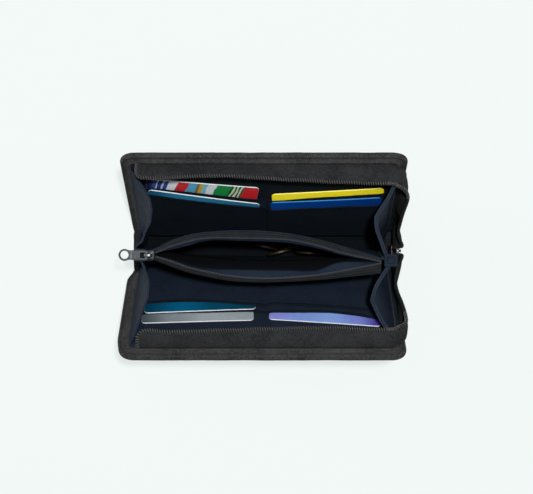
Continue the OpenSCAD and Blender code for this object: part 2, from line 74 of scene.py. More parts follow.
MM = 0.001
REAR, FRONT = 1, -1
SIDES = {"rear": REAR, "front": FRONT}
ENDS = {"left": -1, "right": 1}
JOINTS = {joint["name"]: joint for joint in frame["joints"]}

# Lengths in millimetres, as in the part's source
HINGE_Y = JOINTS["rear_cover_fold"]["pos_m"][1] / MM
HINGE_Z = JOINTS["rear_cover_fold"]["pos_m"][2] / MM
TILT = {
    REAR: math.radians(JOINTS["rear_cover_fold"]["range_deg"][1]),
    FRONT: math.radians(JOINTS["front_cover_fold"]["range_deg"][1]),
}
HALF_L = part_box("spine_skin")[1].x / MM
COVER_H = 107
COVER_HALF_T = 3
CORNER_R = 10
TAPE_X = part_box("rear_zip_tape")[1].x / MM
TAPE_V = 100
TAPE_START_X = -93
TAPE_W = 12.8
ZIP_CORNER_R = 12
SHUT_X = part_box("shut_zip_tape")[0].x / MM + 0.4
SHUT_TOP_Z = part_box("shut_zip_tape")[1].z / MM
SHUT_FOOT_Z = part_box("shut_zip_tape")[0].z / MM
WEB_TOP_V = 38
SLOTS_X = 95
DIVIDER_X = 1
CARD_L, CARD_H, CARD_T, CARD_R = 85.6, 54, 0.76, 3.18
CARD_MARGIN = 0.35
LINED_X = HALF_L - 7
SPINE_HALF_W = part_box("spine_skin")[1].y / MM
SPINE_TOP_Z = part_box("spine_lining")[1].z / MM
GUSSET_X = 100
GUSSET_FOOT_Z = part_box("left_rear_gusset")[0].z / MM
GUSSET_TOP_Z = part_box("left_rear_gusset")[1].z / MM
HEM_TOP_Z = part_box("left_rear_hem")[1].z / MM
POCKET_X = 88
POCKET_YAW = math.radians(1.2)
FOOT_HALF_W, BELLY_HALF_W = 5, 8.2
POCKET_FOOT_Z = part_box("coin_rear_wall")[0].z / MM
BELLY_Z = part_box("coin_rear_wall")[1].z / MM
MOUTH_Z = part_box("coin_rear_tape")[0].z / MM
MOUTH_LEAN = 5
COIN_SLIDER_Z = 85.9
COIN_T = 1.8


def linear(code):
    """Linear colour of an sRGB hex code."""
    parts = [int(code[i : i + 2], 16) / 255 for i in (1, 3, 5)]
    return [p / 12.92 if p <= 0.04045 else ((p + 0.055) / 1.055) ** 2.4 for p in parts]


def colour(name, code, description):
    """A colour of the panel, given as an sRGB hex code."""
    return bpy.props.FloatVectorProperty(
        name=name, description=description, subtype="COLOR", size=3, min=0, max=1, default=linear(code)
    )


def length(name, value, description):
    """A length of the panel, given in millimetres."""
    return bpy.props.FloatProperty(
        name=name, description=description, default=value * MM, min=0,
        unit="LENGTH", subtype="DISTANCE", precision=4,
    )


class WalletColours(bpy.types.PropertyGroup):
    shell: colour("Shell", "#353535", "Woven nylon of the covers")
    lining: colour("Lining", "#19222f", "Polyester lining")
    # Lighter than the lining: painted highlight on the hems' rolled tops
    hem: colour("Hem", "#242c38", "Folded hems of the gussets")
    # Lighter than the hem: painted light on the rear lip's hem, which stands in shade
    lip: colour("Lip hem", "#333e50", "Hem on the rear lip of the coin pocket")
    # Darker lining: painted shade on the rear cover, the slot hems and the coin pocket
    pocket: colour("Dark lining", "#0f171e", "Darker lining of the rear cover and the coin pocket")
    # Darkest lining: painted shade at the foot of the wallet and inside the coin pocket
    foot: colour("Foot lining", "#070b10", "Lining at the foot of the wallet")
    tape: colour("Zip tape", "#272829", "Woven tape of the main zip")
    # Also painted shade on the main zip's tape near the slider
    coin_tape: colour("Coin zip tape", "#1c1e21", "Finer tape of the coin zip")
    coil: colour("Zip coil", "#52514f", "Nylon coil of the main zip")
    coin_coil: colour("Coin zip coil", "#454a4f", "Nylon coil of the coin zip")
    metal: colour("Slider", "#6b6f71", "Gunmetal plating of the sliders")
    floor: colour("Floor", "#f4faf8", "Pale floor")


class WalletSizes(bpy.types.PropertyGroup):
    rim: length("Rim radius", 3.2, "Radius of the padded rim")
    puff: length("Puff", 1.3, "How far the padding swells outwards")
    pitch: length("Coil pitch", 1.8, "Distance between two turns of the main coil")
    fine_pitch: length("Fine coil pitch", 1.1, "Distance between two turns of the coin coil")
    bulge: length("Slot bulge", 0.9, "How far the slots stand off over a card")


def sizes():
    """Sizes as set in the panel."""
    return bpy.context.scene.wallet_sizes


def colours():
    """Colours as set in the panel."""
    return bpy.context.scene.wallet_colours


def through(points, x):
    """Value at x on a smooth line through the points."""
    xs = [p[0] for p in points]
    last = len(points) - 1
    i = min(max(bisect.bisect_right(xs, x) - 1, 0), last - 1)

    def slope(k):
        low, high = points[max(k - 1, 0)], points[min(k + 1, last)]
        return (high[1] - low[1]) / (high[0] - low[0])

    step = xs[i + 1] - xs[i]
    t = min(max((x - xs[i]) / step, 0), 1)
    return (
        (2 * t**3 - 3 * t**2 + 1) * points[i][1]
        + (t**3 - 2 * t**2 + t) * step * slope(i)
        + (3 * t**2 - 2 * t**3) * points[i + 1][1]
        + (t**3 - t**2) * step * slope(i + 1)
    )


def path_point(points, t):
    """Point at share t of a smooth path through the points."""
    return Vector(
        through([(i / (len(points) - 1), p[axis]) for i, p in enumerate(points)], t)
        for axis in range(3)
    )


def ease(t):
    """Smooth step from 0 to 1."""
    t = min(max(t, 0), 1)
    return t * t * (3 - 2 * t)


def on_cover(side, x, v, n):
    """Place of a point given along a cover, up it, and out from its middle plane."""
    tilt = TILT[side]
    y = HINGE_Y + v * math.sin(tilt) + n * math.cos(tilt)
    return Vector((x, side * y, HINGE_Z + v * math.cos(tilt) - n * math.sin(tilt)))


def add(tree, kind, inputs=None, **settings):
    """Adds a node with its settings, its values and its links."""
    node = tree.nodes.new(kind)
    for name, value in settings.items():
        setattr(node, name, value)
    for name, value in (inputs or {}).items():
        if isinstance(value, bpy.types.NodeSocket):
            tree.links.new(value, node.inputs[name])
        else:
            node.inputs[name].default_value = value
    return node


def start_material(name, tone, **values):
    """A material whose Principled shader has the values given, with its tree and shader."""
    finish = bpy.data.materials.new(name)
    finish.use_nodes = True
    tree = finish.node_tree
    shader = tree.nodes["Principled BSDF"]
    shader.inputs["Base Color"].default_value = (*tone, 1)
    for key, value in values.items():
        shader.inputs[key.replace("_", " ").title()].default_value = value
    finish.diffuse_color = (*tone, 1)
    return finish, tree, shader


def shade(tone, factor):
    """A tone made darker or lighter, with its alpha."""
    return (*(min(c * factor, 1) for c in tone), 1)


def combine(tree, operation, *values):
    """Result of one sum on the values, in their order."""
    return add(tree, "ShaderNodeMath", dict(enumerate(values)), operation=operation).outputs[0]


def speckle(tree, scale, detail, **more):
    """Noise over the object's own coordinates."""
    coords = add(tree, "ShaderNodeTexCoord")
    inputs = {"Vector": coords.outputs["Object"], "Scale": scale, "Detail": detail, **more}
    return add(tree, "ShaderNodeTexNoise", inputs).outputs["Fac"]


def two_tone(tree, shader, share, tone, spread):
    """Base colour that wanders between a darker and a lighter shade of a tone."""
    mixed = add(tree, "ShaderNodeMix", {0: share}, data_type="RGBA")
    mixed.inputs[6].default_value = shade(tone, 1 - spread)
    mixed.inputs[7].default_value = shade(tone, 1 + spread)
    tree.links.new(mixed.outputs[2], shader.inputs["Base Color"])


def emboss(tree, shader, height, depth, strength=1):
    """Bumps as deep as the depth in millimetres."""
    bump = add(tree, "ShaderNodeBump", {"Height": height, "Distance": depth * MM, "Strength": strength})
    tree.links.new(bump.outputs[0], shader.inputs["Normal"])


def cloth(name, tone, pitch, twill, relief, contrast, roughness, sheen=0.0):
    """Woven cloth: threads at the pitch in millimetres on the UV map, slubs, and uneven dye."""
    finish, tree, shader = start_material(name, tone, roughness=roughness)
    shader.inputs["Sheen Weight"].default_value = sheen
    shader.inputs["Specular IOR Level"].default_value = 0.1
    coords = add(tree, "ShaderNodeTexCoord")
    turns = 2 * math.pi / (pitch * MM)
    scaled = add(
        tree, "ShaderNodeVectorMath", {0: coords.outputs["UV"], "Scale": turns}, operation="SCALE"
    )
    split = add(tree, "ShaderNodeSeparateXYZ", {0: scaled.outputs[0]})
    first, second = split.outputs[0], split.outputs[1]
    if twill:
        first = combine(tree, "ADD", first, second)
    warp = combine(tree, "SINE", first)
    crossing = warp if twill else combine(tree, "SINE", second)
    threads = combine(tree, "MULTIPLY", warp, crossing)
    slubs = speckle(tree, 0.9 / (pitch * MM), 3, Roughness=0.65)
    grain = combine(tree, "MULTIPLY_ADD", threads, 0.22, slubs)
    tint = combine(tree, "MULTIPLY_ADD", speckle(tree, 70, 2), 0.5, grain)
    share = add(tree, "ShaderNodeMapRange", {"Value": tint, "From Min": 0.6, "From Max": 0.9})
    two_tone(tree, shader, share.outputs[0], tone, contrast)
    emboss(tree, shader, grain, relief)
    return finish


def gunmetal(name, tone, dulling=1):
    """Plated zinc die casting: satin metal whose roughness varies in fine specks."""
    tone = [c * dulling for c in tone]
    finish, tree, shader = start_material(name, tone, metallic=1, roughness=0.34)
    marks = speckle(tree, 700, 4)
    rough = add(tree, "ShaderNodeMapRange", {"Value": marks, "To Min": 0.26, "To Max": 0.5})
    tree.links.new(rough.outputs[0], shader.inputs["Roughness"])
    emboss(tree, shader, marks, 0.03, 0.6)
    return finish


def printed(name, tone, stops, margin, slant=0.0, waviness=0.0, glow=0.0):
    """Printed and laminated PVC card: bands of colour along it, a plain margin at its head, and a glow of
    painted light where glow is set.
    """
    finish, tree, shader = start_material(name, tone, roughness=0.32)
    shader.inputs["Specular IOR Level"].default_value = 0.4
    coords = add(tree, "ShaderNodeTexCoord")
    split = add(tree, "ShaderNodeSeparateXYZ", {0: coords.outputs["UV"]})
    leaning = combine(tree, "MULTIPLY_ADD", split.outputs[1], slant, split.outputs[0])
    drift = add(tree, "ShaderNodeTexNoise", {"Vector": coords.outputs["UV"], "Scale": 110, "Detail": 1})
    wavy = combine(tree, "MULTIPLY_ADD", drift.outputs["Fac"], waviness * MM, leaning)
    shift = (slant * (CARD_H - 4) + waviness / 2) * MM
    limits = {"From Min": shift, "From Max": shift + CARD_L * MM}
    along = add(tree, "ShaderNodeMapRange", {"Value": wavy, **limits})
    ramp = add(tree, "ShaderNodeValToRGB", {0: along.outputs[0]})
    ramp.color_ramp.interpolation = "CONSTANT" if waviness else "EASE"
    while len(ramp.color_ramp.elements) < len(stops):
        ramp.color_ramp.elements.new(0.5)
    for element, (place, code) in zip(ramp.color_ramp.elements, stops):
        element.position = place
        element.color = (*linear(code), 1)
    faded = add(tree, "ShaderNodeMapRange", {"Value": speckle(tree, 260, 2), "To Min": 0.86, "To Max": 1.1})
    toned = add(
        tree, "ShaderNodeVectorMath", {0: ramp.outputs[0], "Scale": faded.outputs[0]}, operation="SCALE"
    )
    head = combine(tree, "GREATER_THAN", split.outputs[1], (CARD_H - CARD_MARGIN) * MM)
    face = add(tree, "ShaderNodeMix", {0: head}, data_type="RGBA")
    tree.links.new(toned.outputs[0], face.inputs[6])
    face.inputs[7].default_value = (*linear(margin), 1)
    # Where glow is set, the print glows: painted light that brightens the yellow card
    for socket in ("Base Color", "Emission Color"):
        tree.links.new(face.outputs[2], shader.inputs[socket])
    shader.inputs["Emission Strength"].default_value = glow
    return finish


def plain(name, tone, roughness, metallic=0.0, grit=300, spread=0.2, detail=3):
    """Simple solid stock, with a slightly uneven tone."""
    finish, tree, shader = start_material(name, tone, roughness=roughness, metallic=metallic)
    two_tone(tree, shader, speckle(tree, grit, detail), tone, spread)
    return finish


FINISHES = {}


def finish_of(name):
    """The named material, made the first time it is asked for."""
    if name not in FINISHES:
        maker, tone, *values = MAKERS[name]
        tone = linear(tone) if tone.startswith("#") else tuple(getattr(colours(), tone))
        FINISHES[name] = maker(name, tone, *values)
    return FINISHES[name]


# Distance between the threads that are drawn, in millimetres
FINE_PITCH, COARSE_PITCH = 1.1, 1.5
# Materials: maker, tone on the panel or as a code, and the maker's other values
MAKERS = {
    # Plain-weave nylon, matt: its threads are drawn 1.5 mm apart, coarser than real, so that they show
    "woven_nylon": (cloth, "shell", COARSE_PITCH, False, 0.3, 0.5, 0.85, 0.01),
    # Fine polyester lining with a faint satin twill
    "polyester_lining": (cloth, "lining", FINE_PITCH, True, 0.1, 0.25, 0.7),
    # The same polyester, folded and pressed at the hems, a little lighter: painted highlight where the
    # rolled hems catch the light
    "polyester_hem": (cloth, "hem", FINE_PITCH, True, 0.14, 0.3, 0.75),
    # The lining made lighter with painted light, on the hem folded over the rear lip of the coin pocket,
    # which stands in shade
    "lip_hem": (cloth, "lip", FINE_PITCH, False, 0.2, 0.4, 0.85),
    # Plain-weave lining darkened with painted shade, where shade falls: on the rear cover, under the slot
    # hems and in the coin pocket
    "pocket_lining": (cloth, "pocket", FINE_PITCH, False, 0.1, 0.2, 0.9),
    # The same lining, darkened with deeper painted shade at the foot of the wallet and inside the coin
    # pocket
    "foot_lining": (cloth, "foot", FINE_PITCH, False, 0.1, 0.3, 0.9),
    # Woven polyester tape, ribbed across, flat and without shine
    "woven_tape": (cloth, "tape", COARSE_PITCH, False, 0.25, 0.45, 0.9, 0.01),
    # Finer and blacker tape of the coin zip; also painted shade on the main zip's tape between the covers
    # and the slider
    "coin_tape": (cloth, "coin_tape", FINE_PITCH, False, 0.15, 0.4, 0.9),
    # Semi-gloss nylon wire, whose turns catch the light
    "nylon_coil": (plain, "coil", 0.38, 0, 1500, 0.25, 2),
    # Finer wire of the coin zip, a little bluer
    "coin_nylon": (plain, "coin_coil", 0.38, 0, 1500, 0.25, 2),
    # Black yarn that fills a coil and leaves dark gaps between its turns; also painted shade on the main
    # coil's turns where they turn from the light, and on the web's coil
    "filler_yarn": (plain, "#0b0c0d", 0.95, 0, 1200),
    # Dark sewing thread, just seen along the coin zip
    "sewing_thread": (plain, "#2a2a2a", 0.8, 0, 900),
    # Satin zinc plating, brighter where it is rubbed
    "plated_zinc": (gunmetal, "metal"),
    # The same casting, its tone darkened all over to 0.11 of the plated one
    "dull_zinc": (gunmetal, "metal", 0.11),
    # Zinc casting under black lacquer, on the main slider
    "black_zinc": (plain, "#1c1d1e", 0.45, 0, 700),
    # White PVC core that shows as a thin line at a card's edge
    "pvc_core": (plain, "#e6eaec", 0.5, 0, 400),
    # Grey pressed board, hidden once it is covered
    "pressed_board": (plain, "#6b6f73", 0.9, 0, 500),
    # Copper of the coins, darkened with painted shade as they lie deep in the pocket, so that it glints
    # dimly
    "worn_copper": (plain, "#2f1914", 0.5, 0.5, 500),
    # Brass of the other coins, yellower than the copper, darkened with painted shade the same way
    "worn_brass": (plain, "#302a19", 0.5, 0.5, 500),
}


def ring(w):
    """Cosine and sine at share w of a full turn."""
    return math.cos(2 * math.pi * w), math.sin(2 * math.pi * w)


def new_mesh():
    """Empty mesh with a UV map."""
    bm = bmesh.new()
    bm.loops.layers.uv.new("UVMap")
    return bm


def warped_grid(steps, size, place, weld=False):
    """A grid bent into shape: place gives the point at two shares from 0 to 1."""
    bm = new_mesh()
    uv = bm.loops.layers.uv.active
    bmesh.ops.create_grid(
        bm, x_segments=steps[0], y_segments=steps[1], size=0.5, calc_uvs=True
    )
    for face in bm.faces:
        for corner in face.loops:
            share = corner[uv].uv
            corner[uv].uv = (share.x * size[0] * MM, share.y * size[1] * MM)
    for vert in bm.verts:
        vert.co = Vector(place(vert.co.x + 0.5, vert.co.y + 0.5)) * MM
    return close(bm) if weld else bm


# Steps of a rounded outline, from the middle of its foot and anticlockwise: straights and corners in turn
OUTLINE = (24, 5, 24, 8, 56, 8, 24, 5, 24)


def outline_point(index, inset, low, high, radii):
    """Point of a rounded rectangle, inset from its edge; radii are for the foot and for the head."""
    foot_r, head_r = (max(r, inset) for r in radii)
    middle = (low[0] + high[0]) / 2
    centres = (
        (high[0] - foot_r, low[1] + foot_r, foot_r),
        (high[0] - head_r, high[1] - head_r, head_r),
        (low[0] + head_r, high[1] - head_r, head_r),
        (low[0] + foot_r, low[1] + foot_r, foot_r),
    )
    knots = [(middle, low[1] + inset)]
    for k, (x, v, r) in enumerate(centres):
        for angle in (k - 1, k):
            turn = angle * math.pi / 2
            knots.append((x + (r - inset) * math.cos(turn), v + (r - inset) * math.sin(turn)))
    knots.append((middle, low[1] + inset))
    part = 0
    while index > OUTLINE[part]:
        index -= OUTLINE[part]
        part += 1
    share = index / OUTLINE[part]
    if part % 2:
        k = part // 2
        x, v, r = centres[k]
        turn = (k - 1 + share) * math.pi / 2
        return x + (r - inset) * math.cos(turn), v + (r - inset) * math.sin(turn)
    a, b = knots[part], knots[part + 1]
    return a[0] + (b[0] - a[0]) * share, a[1] + (b[1] - a[1]) * share


def close(bm):
    """Joins the meeting edges of a bent grid into a closed skin."""
    bmesh.ops.remove_doubles(bm, verts=bm.verts, dist=0.005 * MM)
    uv = bm.loops.layers.uv.active
    for face in bmesh.ops.holes_fill(bm, edges=bm.edges, sides=0)["faces"]:
        for corner in face.loops:
            known = [other for other in corner.vert.link_loops if other.face != face]
            if uv and known:
                corner[uv].uv = known[0][uv].uv
    bmesh.ops.recalc_face_normals(bm, faces=bm.faces)
    return bm


def pad(low, high, radii, section, place, edge_finish=1):
    """Closed plate with a rounded outline; the section runs over its edge as insets and levels."""
    around = sum(OUTLINE)
    rows = len(section) - 1
    least = min(inset for inset, _ in section)

    def flat(u, w):
        """Place on the flat plate, inset and level at a corner of the grid."""
        inset, level = section[round(w * rows)]
        x, v = outline_point(round(u * around) % around, inset, low, high, radii)
        return x, v, inset, level

    def point(u, w):
        x, v, _, level = flat(u, w)
        return place(x, v, level)

    bm = warped_grid((around, rows), (1, 1), point)
    uv = bm.loops.layers.uv.active
    for face in bm.faces:
        insets = []
        for corner in face.loops:
            share = corner[uv].uv / MM
            x, v, inset, _ = flat(share.x, share.y)
            corner[uv].uv = ((x - low[0]) * MM, (v - low[1]) * MM)
            insets.append(inset)
        face.material_index = edge_finish if min(insets) <= least + 0.001 else 0
    return close(bm)


def angled(points, t, roundness=0.4):
    """Point at share t of a folded path through the points, with its corners a little rounded."""
    place = min(max(t, 0), 1) * (len(points) - 1)
    k = min(int(place), len(points) - 2)
    part = place - k
    result = []
    for axis in (0, 1):
        straight = points[k][axis] * (1 - part) + points[k + 1][axis] * part
        smooth = through([(i, p[axis]) for i, p in enumerate(points)], place)
        result.append(straight * (1 - roundness) + smooth * roundness)
    return result


def put(name, bm, finishes, body=None, nodes=(), thick=0):
    """Makes a mesh a piece of the scene, on a body, in place of nodes."""
    mesh = bpy.data.meshes.new(name)
    bm.to_mesh(mesh)
    bm.free()
    piece = bpy.data.objects.new(name, mesh)
    bpy.context.scene.collection.objects.link(piece)
    for finish in finishes:
        mesh.materials.append(finish_of(finish))
    mesh.shade_smooth()
    if thick:
        wall = piece.modifiers.new("Cloth", "SOLIDIFY")
        wall.thickness = thick * MM
        wall.offset = 0
    if body:
        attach(piece, body)
    if nodes:
        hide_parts(*nodes)
    return piece


def strand(name, points, radius, finish, body=None, nodes=(), rounds=0):
    """Tube of even radius along the points, put in its place; rounds smooths its section."""
    line = bpy.data.curves.new(name, "CURVE")
    line.dimensions = "3D"
    line.bevel_depth = radius * MM
    line.bevel_resolution = rounds
    line.use_fill_caps = True
    spline = line.splines.new("POLY")
    spline.points.add(len(points) - 1)
    for target, point in zip(spline.points, points):
        target.co = (*(Vector(point) * MM), 1)
    holder = bpy.data.objects.new(name, line)
    bpy.context.scene.collection.objects.link(holder)
    bpy.context.view_layer.update()
    mesh = bpy.data.meshes.new_from_object(holder)
    bpy.data.objects.remove(holder)
    bpy.data.curves.remove(line)
    bm = new_mesh()
    bm.from_mesh(mesh)
    bpy.data.meshes.remove(mesh)
    bmesh.ops.recalc_face_normals(bm, faces=bm.faces)
    return put(name, bm, [finish], body, nodes)


def coil_points(frame_at, total, pitch, half_w, half_t, per_turn=8):
    """Points of a coil round a path; frame_at gives its centre and its two directions at a length."""
    points = []
    count = int(total / pitch * per_turn)
    for i in range(count + 1):
        turn = 2 * math.pi * i / per_turn
        spot, across, up = frame_at(total * i / count)
        points.append(spot + across * half_w * math.cos(turn) + up * half_t * math.sin(turn))
    return points


def declare(piece, size):
    """Works out a sheet of cloth's cut size in metres, at least 10 mm a side; nothing more is done with it.
    """
    flat = [max(side, 10) * MM for side in size]


# Covers


def rim_section():
    """Section of a cover: from the middle of its inner face, over its rim, to its outer face."""
    rim = sizes().rim / MM
    inner = [
        (55, -2.3), (30, -2.3), (14, -2.3), (8.7, -2.3), (7.9, -2.5), (7.4, -3.1), (6.9, -3.7),
        (6.1, -4.05), (5.2, -4.0), (4.8, -3.2), (4.4, -2.6), (3.9, -1.9), (3.3, -1.5), (2.6, -1.5),
        (1.9, -1.9), (1.3, -2.3),
    ]
    turns = 12
    roll = []
    for i in range(turns + 1):
        angle = math.radians(-52 + 142 * i / turns)
        roll.append((3.1 - rim * math.cos(angle), rim * math.sin(angle)))
    outer = [
        (4.6, 3.15), (5.8, 2.95), (6.6, 2.6), (7.2, 2.5), (7.8, 2.75), (9.2, 3.1), (12, 3.4),
        (18, 3.8), (30, 4.1), (42, 4.2), (55, 4.2),
    ]
    return inner + roll + outer


# How far a cover's left and right ends spread beyond its length at the rim
SPREAD = {REAR: (-0.9, 2.3), FRONT: (-4.3, 1.8)}
# How far the rim stands over a cover's height, and how far the front cover is fuller near its top
RIM_TOP = 0.9
FRONT_SWELL = 0.9


def build_shell(name, side):
    """Padded cover of one side, with its rolled rim and its inner band."""
    puff = sizes().puff / MM

    def place(x, v, n):
        if n > 3:
            n = 3 + (n - 3) * puff / 1.2
        if n > 0 and side == FRONT:
            n += FRONT_SWELL * ease((v - 90) / 14)
        puckers = 0.25 * noise.noise((x * 0.06, v * 0.06, side * 7 + n * 0.02))
        puckers += 0.14 * noise.noise((x * 0.33, v * 0.33, side * 5 + n * 0.1))
        share = (max(v, 0) / COVER_H) ** 0.6
        if side == FRONT and x < 0:
            share = ease(v / 14) * (1 - 0.5 * ease((v - 86) / 18))
        spread = SPREAD[side][x > 0] * ease((abs(x) - 92) / 13) * share
        return on_cover(side, x + spread, v, n + puckers)

    low, high = (-HALF_L, -COVER_HALF_T), (HALF_L, COVER_H + RIM_TOP)
    bm = pad(low, high, (3, CORNER_R), rim_section(), place, edge_finish=0)
    nodes = [f"{name}_cover_skin", f"{name}_cover_padding", f"{name}_edge_binding"]
    shell = put(f"{name}_shell", bm, ["woven_nylon"], f"{name}_cover", nodes)


def build_liner(name, side):
    """Lining of a cover's inner face, drawn in at the right end near its top."""
    width, height = 2 * HALF_L - 7.4, TAPE_V - 1.8

    def place(u, w):
        v = 1.5 + w * height
        x = -HALF_L + 5.4 + u * (width - 3.4 * ease((v - 84) / 9))
        sag = noise.noise((x * 0.05, v * 0.07, side * 3)) * 0.2
        return on_cover(side, x, v, -COVER_HALF_T + 0.15 + sag)

    bm = warped_grid((60, 30), (width, height), place)
    # The rear cover's lining, which faces away from the light, is darkened with painted shade
    finish = "pocket_lining" if side == REAR else "polyester_lining"
    nodes = [f"{name}_cover_lining"]
    liner = put(f"{name}_liner", bm, [finish], f"{name}_cover", nodes, thick=0.4)
    declare(liner, (width, height))


def finish_board(node):
    """Pressed board for a solid that stays as it is."""
    board = frame["nodes"][node].data
    board.materials.clear()
    board.materials.append(finish_of("pressed_board"))


class WALLET_OT_covers(bpy.types.Operator):
    """Build both padded covers and their linings"""

    bl_idname = "wallet.covers"
    bl_label = "Covers"

    def execute(self, context):
        for name, side in SIDES.items():
            build_shell(name, side)
            build_liner(name, side)
            finish_board(f"{name}_cover_board")
        return {"FINISHED"}


# Spine


class WALLET_OT_spine(bpy.types.Operator):
    """Build the cloth on the spine and across the hinges"""

    bl_idname = "wallet.spine"
    bl_label = "Spine"

    def execute(self, context):
        edge = [
            (12, 0), (4, 0), (0.8, 0), (0.25, 0.2), (0, 0.6), (0, 1.1), (0.3, 1.5), (0.8, 1.6),
            (12, 1.6),
        ]
        low, high = (-HALF_L, -SPINE_HALF_W), (HALF_L, SPINE_HALF_W)
        bm = pad(low, high, (1, 1), edge, lambda x, y, z: (x, y, z), edge_finish=0)
        skin = put("spine_cloth", bm, ["woven_nylon"], "root", ["spine_skin"])
        for end_name, end in ENDS.items():
            self.end_roll(end_name, end)

        def lining(u, w):
            x = (u - 0.5) * 2 * LINED_X
            y = (w - 0.5) * 2 * (SPINE_HALF_W - 0.2)
            return (x, y, SPINE_TOP_Z - 0.4 + 0.3 * noise.noise((x * 0.08, y * 0.15, 0)))

        size = (2 * LINED_X, 2 * SPINE_HALF_W - 0.4)
        bm = warped_grid((70, 10), size, lining)
        nodes = ["spine_lining"]
        # The spine's lining is darkened with painted shade
        liner = put("spine_liner", bm, ["foot_lining"], "root", nodes, thick=0.5)
        declare(liner, size)
        finish_board("spine_board")
        for name, side in SIDES.items():
            self.hinge_cloth(name, side)
        return {"FINISHED"}

    def end_roll(self, end_name, end):
        """Rolled edge of the skin across an end of the spine, from one cover's foot to the other's."""

        def roll(u, w):
            cosine, sine = ring(w)
            full = math.sqrt(max(1 - (2 * abs(u - 0.5)) ** 8, 0))
            y = (u - 0.5) * 2 * (HINGE_Y + 1.6)
            x = HALF_L - 3.5 + (3.6 * cosine + 0.3 * noise.noise((y * 0.2, end, 0))) * full
            return (end * x, y, 4.1 + 2.5 * sine * full)

        bm = warped_grid((40, 20), (2 * HINGE_Y, 19), roll, weld=True)
        put(f"{end_name}_spine_roll", bm, ["coin_tape"], "root", ())

    def hinge_cloth(self, name, side):
        """Skin that runs under a hinge, and lining that runs over it."""
        reach = 3.28
        bend = 0.35

        def under(u, w):
            x = -HALF_L + 0.4 + u * (2 * HALF_L - 0.8)
            angle = math.radians(-90 + max(w - bend, 0) / (1 - bend) * 75)
            y, z = HINGE_Y + reach * math.cos(angle), HINGE_Z + reach * math.sin(angle) + 0.1
            if w < bend:
                y, z = HINGE_Y - (bend - w) * 16, HINGE_Z - reach + 0.1
            return (x, side * y, max(z, 0.1))

        def over(u, w):
            x = (u - 0.5) * 2 * LINED_X
            t = 2 * w
            if t < 1:
                return (x, side * (9 + 5 * t), SPINE_TOP_Z + 0.2 + 0.8 * math.sin(t * 1.2))
            start = Vector((x, side * 14, SPINE_TOP_Z + 0.2 + 0.8 * math.sin(1.2)))
            return start.lerp(on_cover(side, x, 9, -COVER_HALF_T - 0.1), t - 1)

        size = (2 * HALF_L - 0.8, 5.6 + 4.3)
        bm = warped_grid((40, 14), size, under)
        skin = put(f"{name}_hinge_skin", bm, ["woven_nylon"], thick=0.2)
        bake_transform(skin)
        declare(skin, size)
        size = (2 * LINED_X, 15)
        bm = warped_grid((40, 12), size, over)
        # The hinge's lining is darkened with painted shade
        lining = put(f"{name}_hinge_lining", bm, ["foot_lining"], thick=0.3)
        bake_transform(lining)
        declare(lining, size)


# Card slots


# Height of each slot row's hem along the cover: the hems sag at the seam between the columns
HEMS = {
    (REAR, "outer"): (
        (-95, 71), (-88, 70), (-60, 65), (-30, 58.5), (-3, 53.7), (1, 53), (7, 51.2), (30, 54),
        (60, 58.5), (93, 61.8), (95, 62),
    ),
    (REAR, "inner"): (
        (-95, 66), (-88, 64.5), (-60, 57), (-30, 50), (-3, 44.5), (1, 43.5), (6, 42), (30, 43.8),
        (60, 46.3), (84, 48.3), (95, 49),
    ),
    (FRONT, "outer"): (
        (-95, 61.8), (-91, 61.6), (-50, 60.2), (-8, 59), (1, 59.5), (5, 60), (51, 60.3),
        (66, 62.7), (77.5, 65.5), (87.3, 68.8), (92, 73), (95, 74),
    ),
    (FRONT, "inner"): (
        (-95, 52), (-88, 51.3), (-64, 49.3), (-36, 50), (-6, 53.5), (1, 52.5), (28, 53.9),
        (62, 57.5), (81, 60.4), (95, 61),
    ),
}


def column_fullness(x):
    """How far a slot stands off at a place along it: nothing at its seams, one over the card."""
    for low, high in ((-SLOTS_X, DIVIDER_X - 0.8), (DIVIDER_X + 0.8, SLOTS_X)):
        if low <= x <= high:
            share = (x - low) / (high - low)
            return min(1, 3.2 * math.sin(math.pi * share) ** 0.7)
    return 0


def gape(side, row, x, v):
    """How far the rear slots and their cards fall open, away from the cover."""
    if side == FRONT:
        return 0
    if row == "outer":
        most = 2.4 * ease((x - DIVIDER_X) / 4) * max(94 - x, 0) / 87
    elif x < DIVIDER_X:
        most = 4.2 * max(x + 92, 0) / 88 * ease((DIVIDER_X - x) / 4)
    else:
        most = 3.0 * ease((x - DIVIDER_X) / 4) * ease((96 - x) / 4)
    return most * min(max((v - 8) / 45, 0), 1.15)


def hem_height(side, row, x):
    """Height of a hem at a place along it, raised by as much as the open slot would lower it."""
    level = through(HEMS[side, row], x)
    height = level
    for _ in range(4):
        height = level + gape(side, row, x, height) / math.tan(TILT[side])
    return height


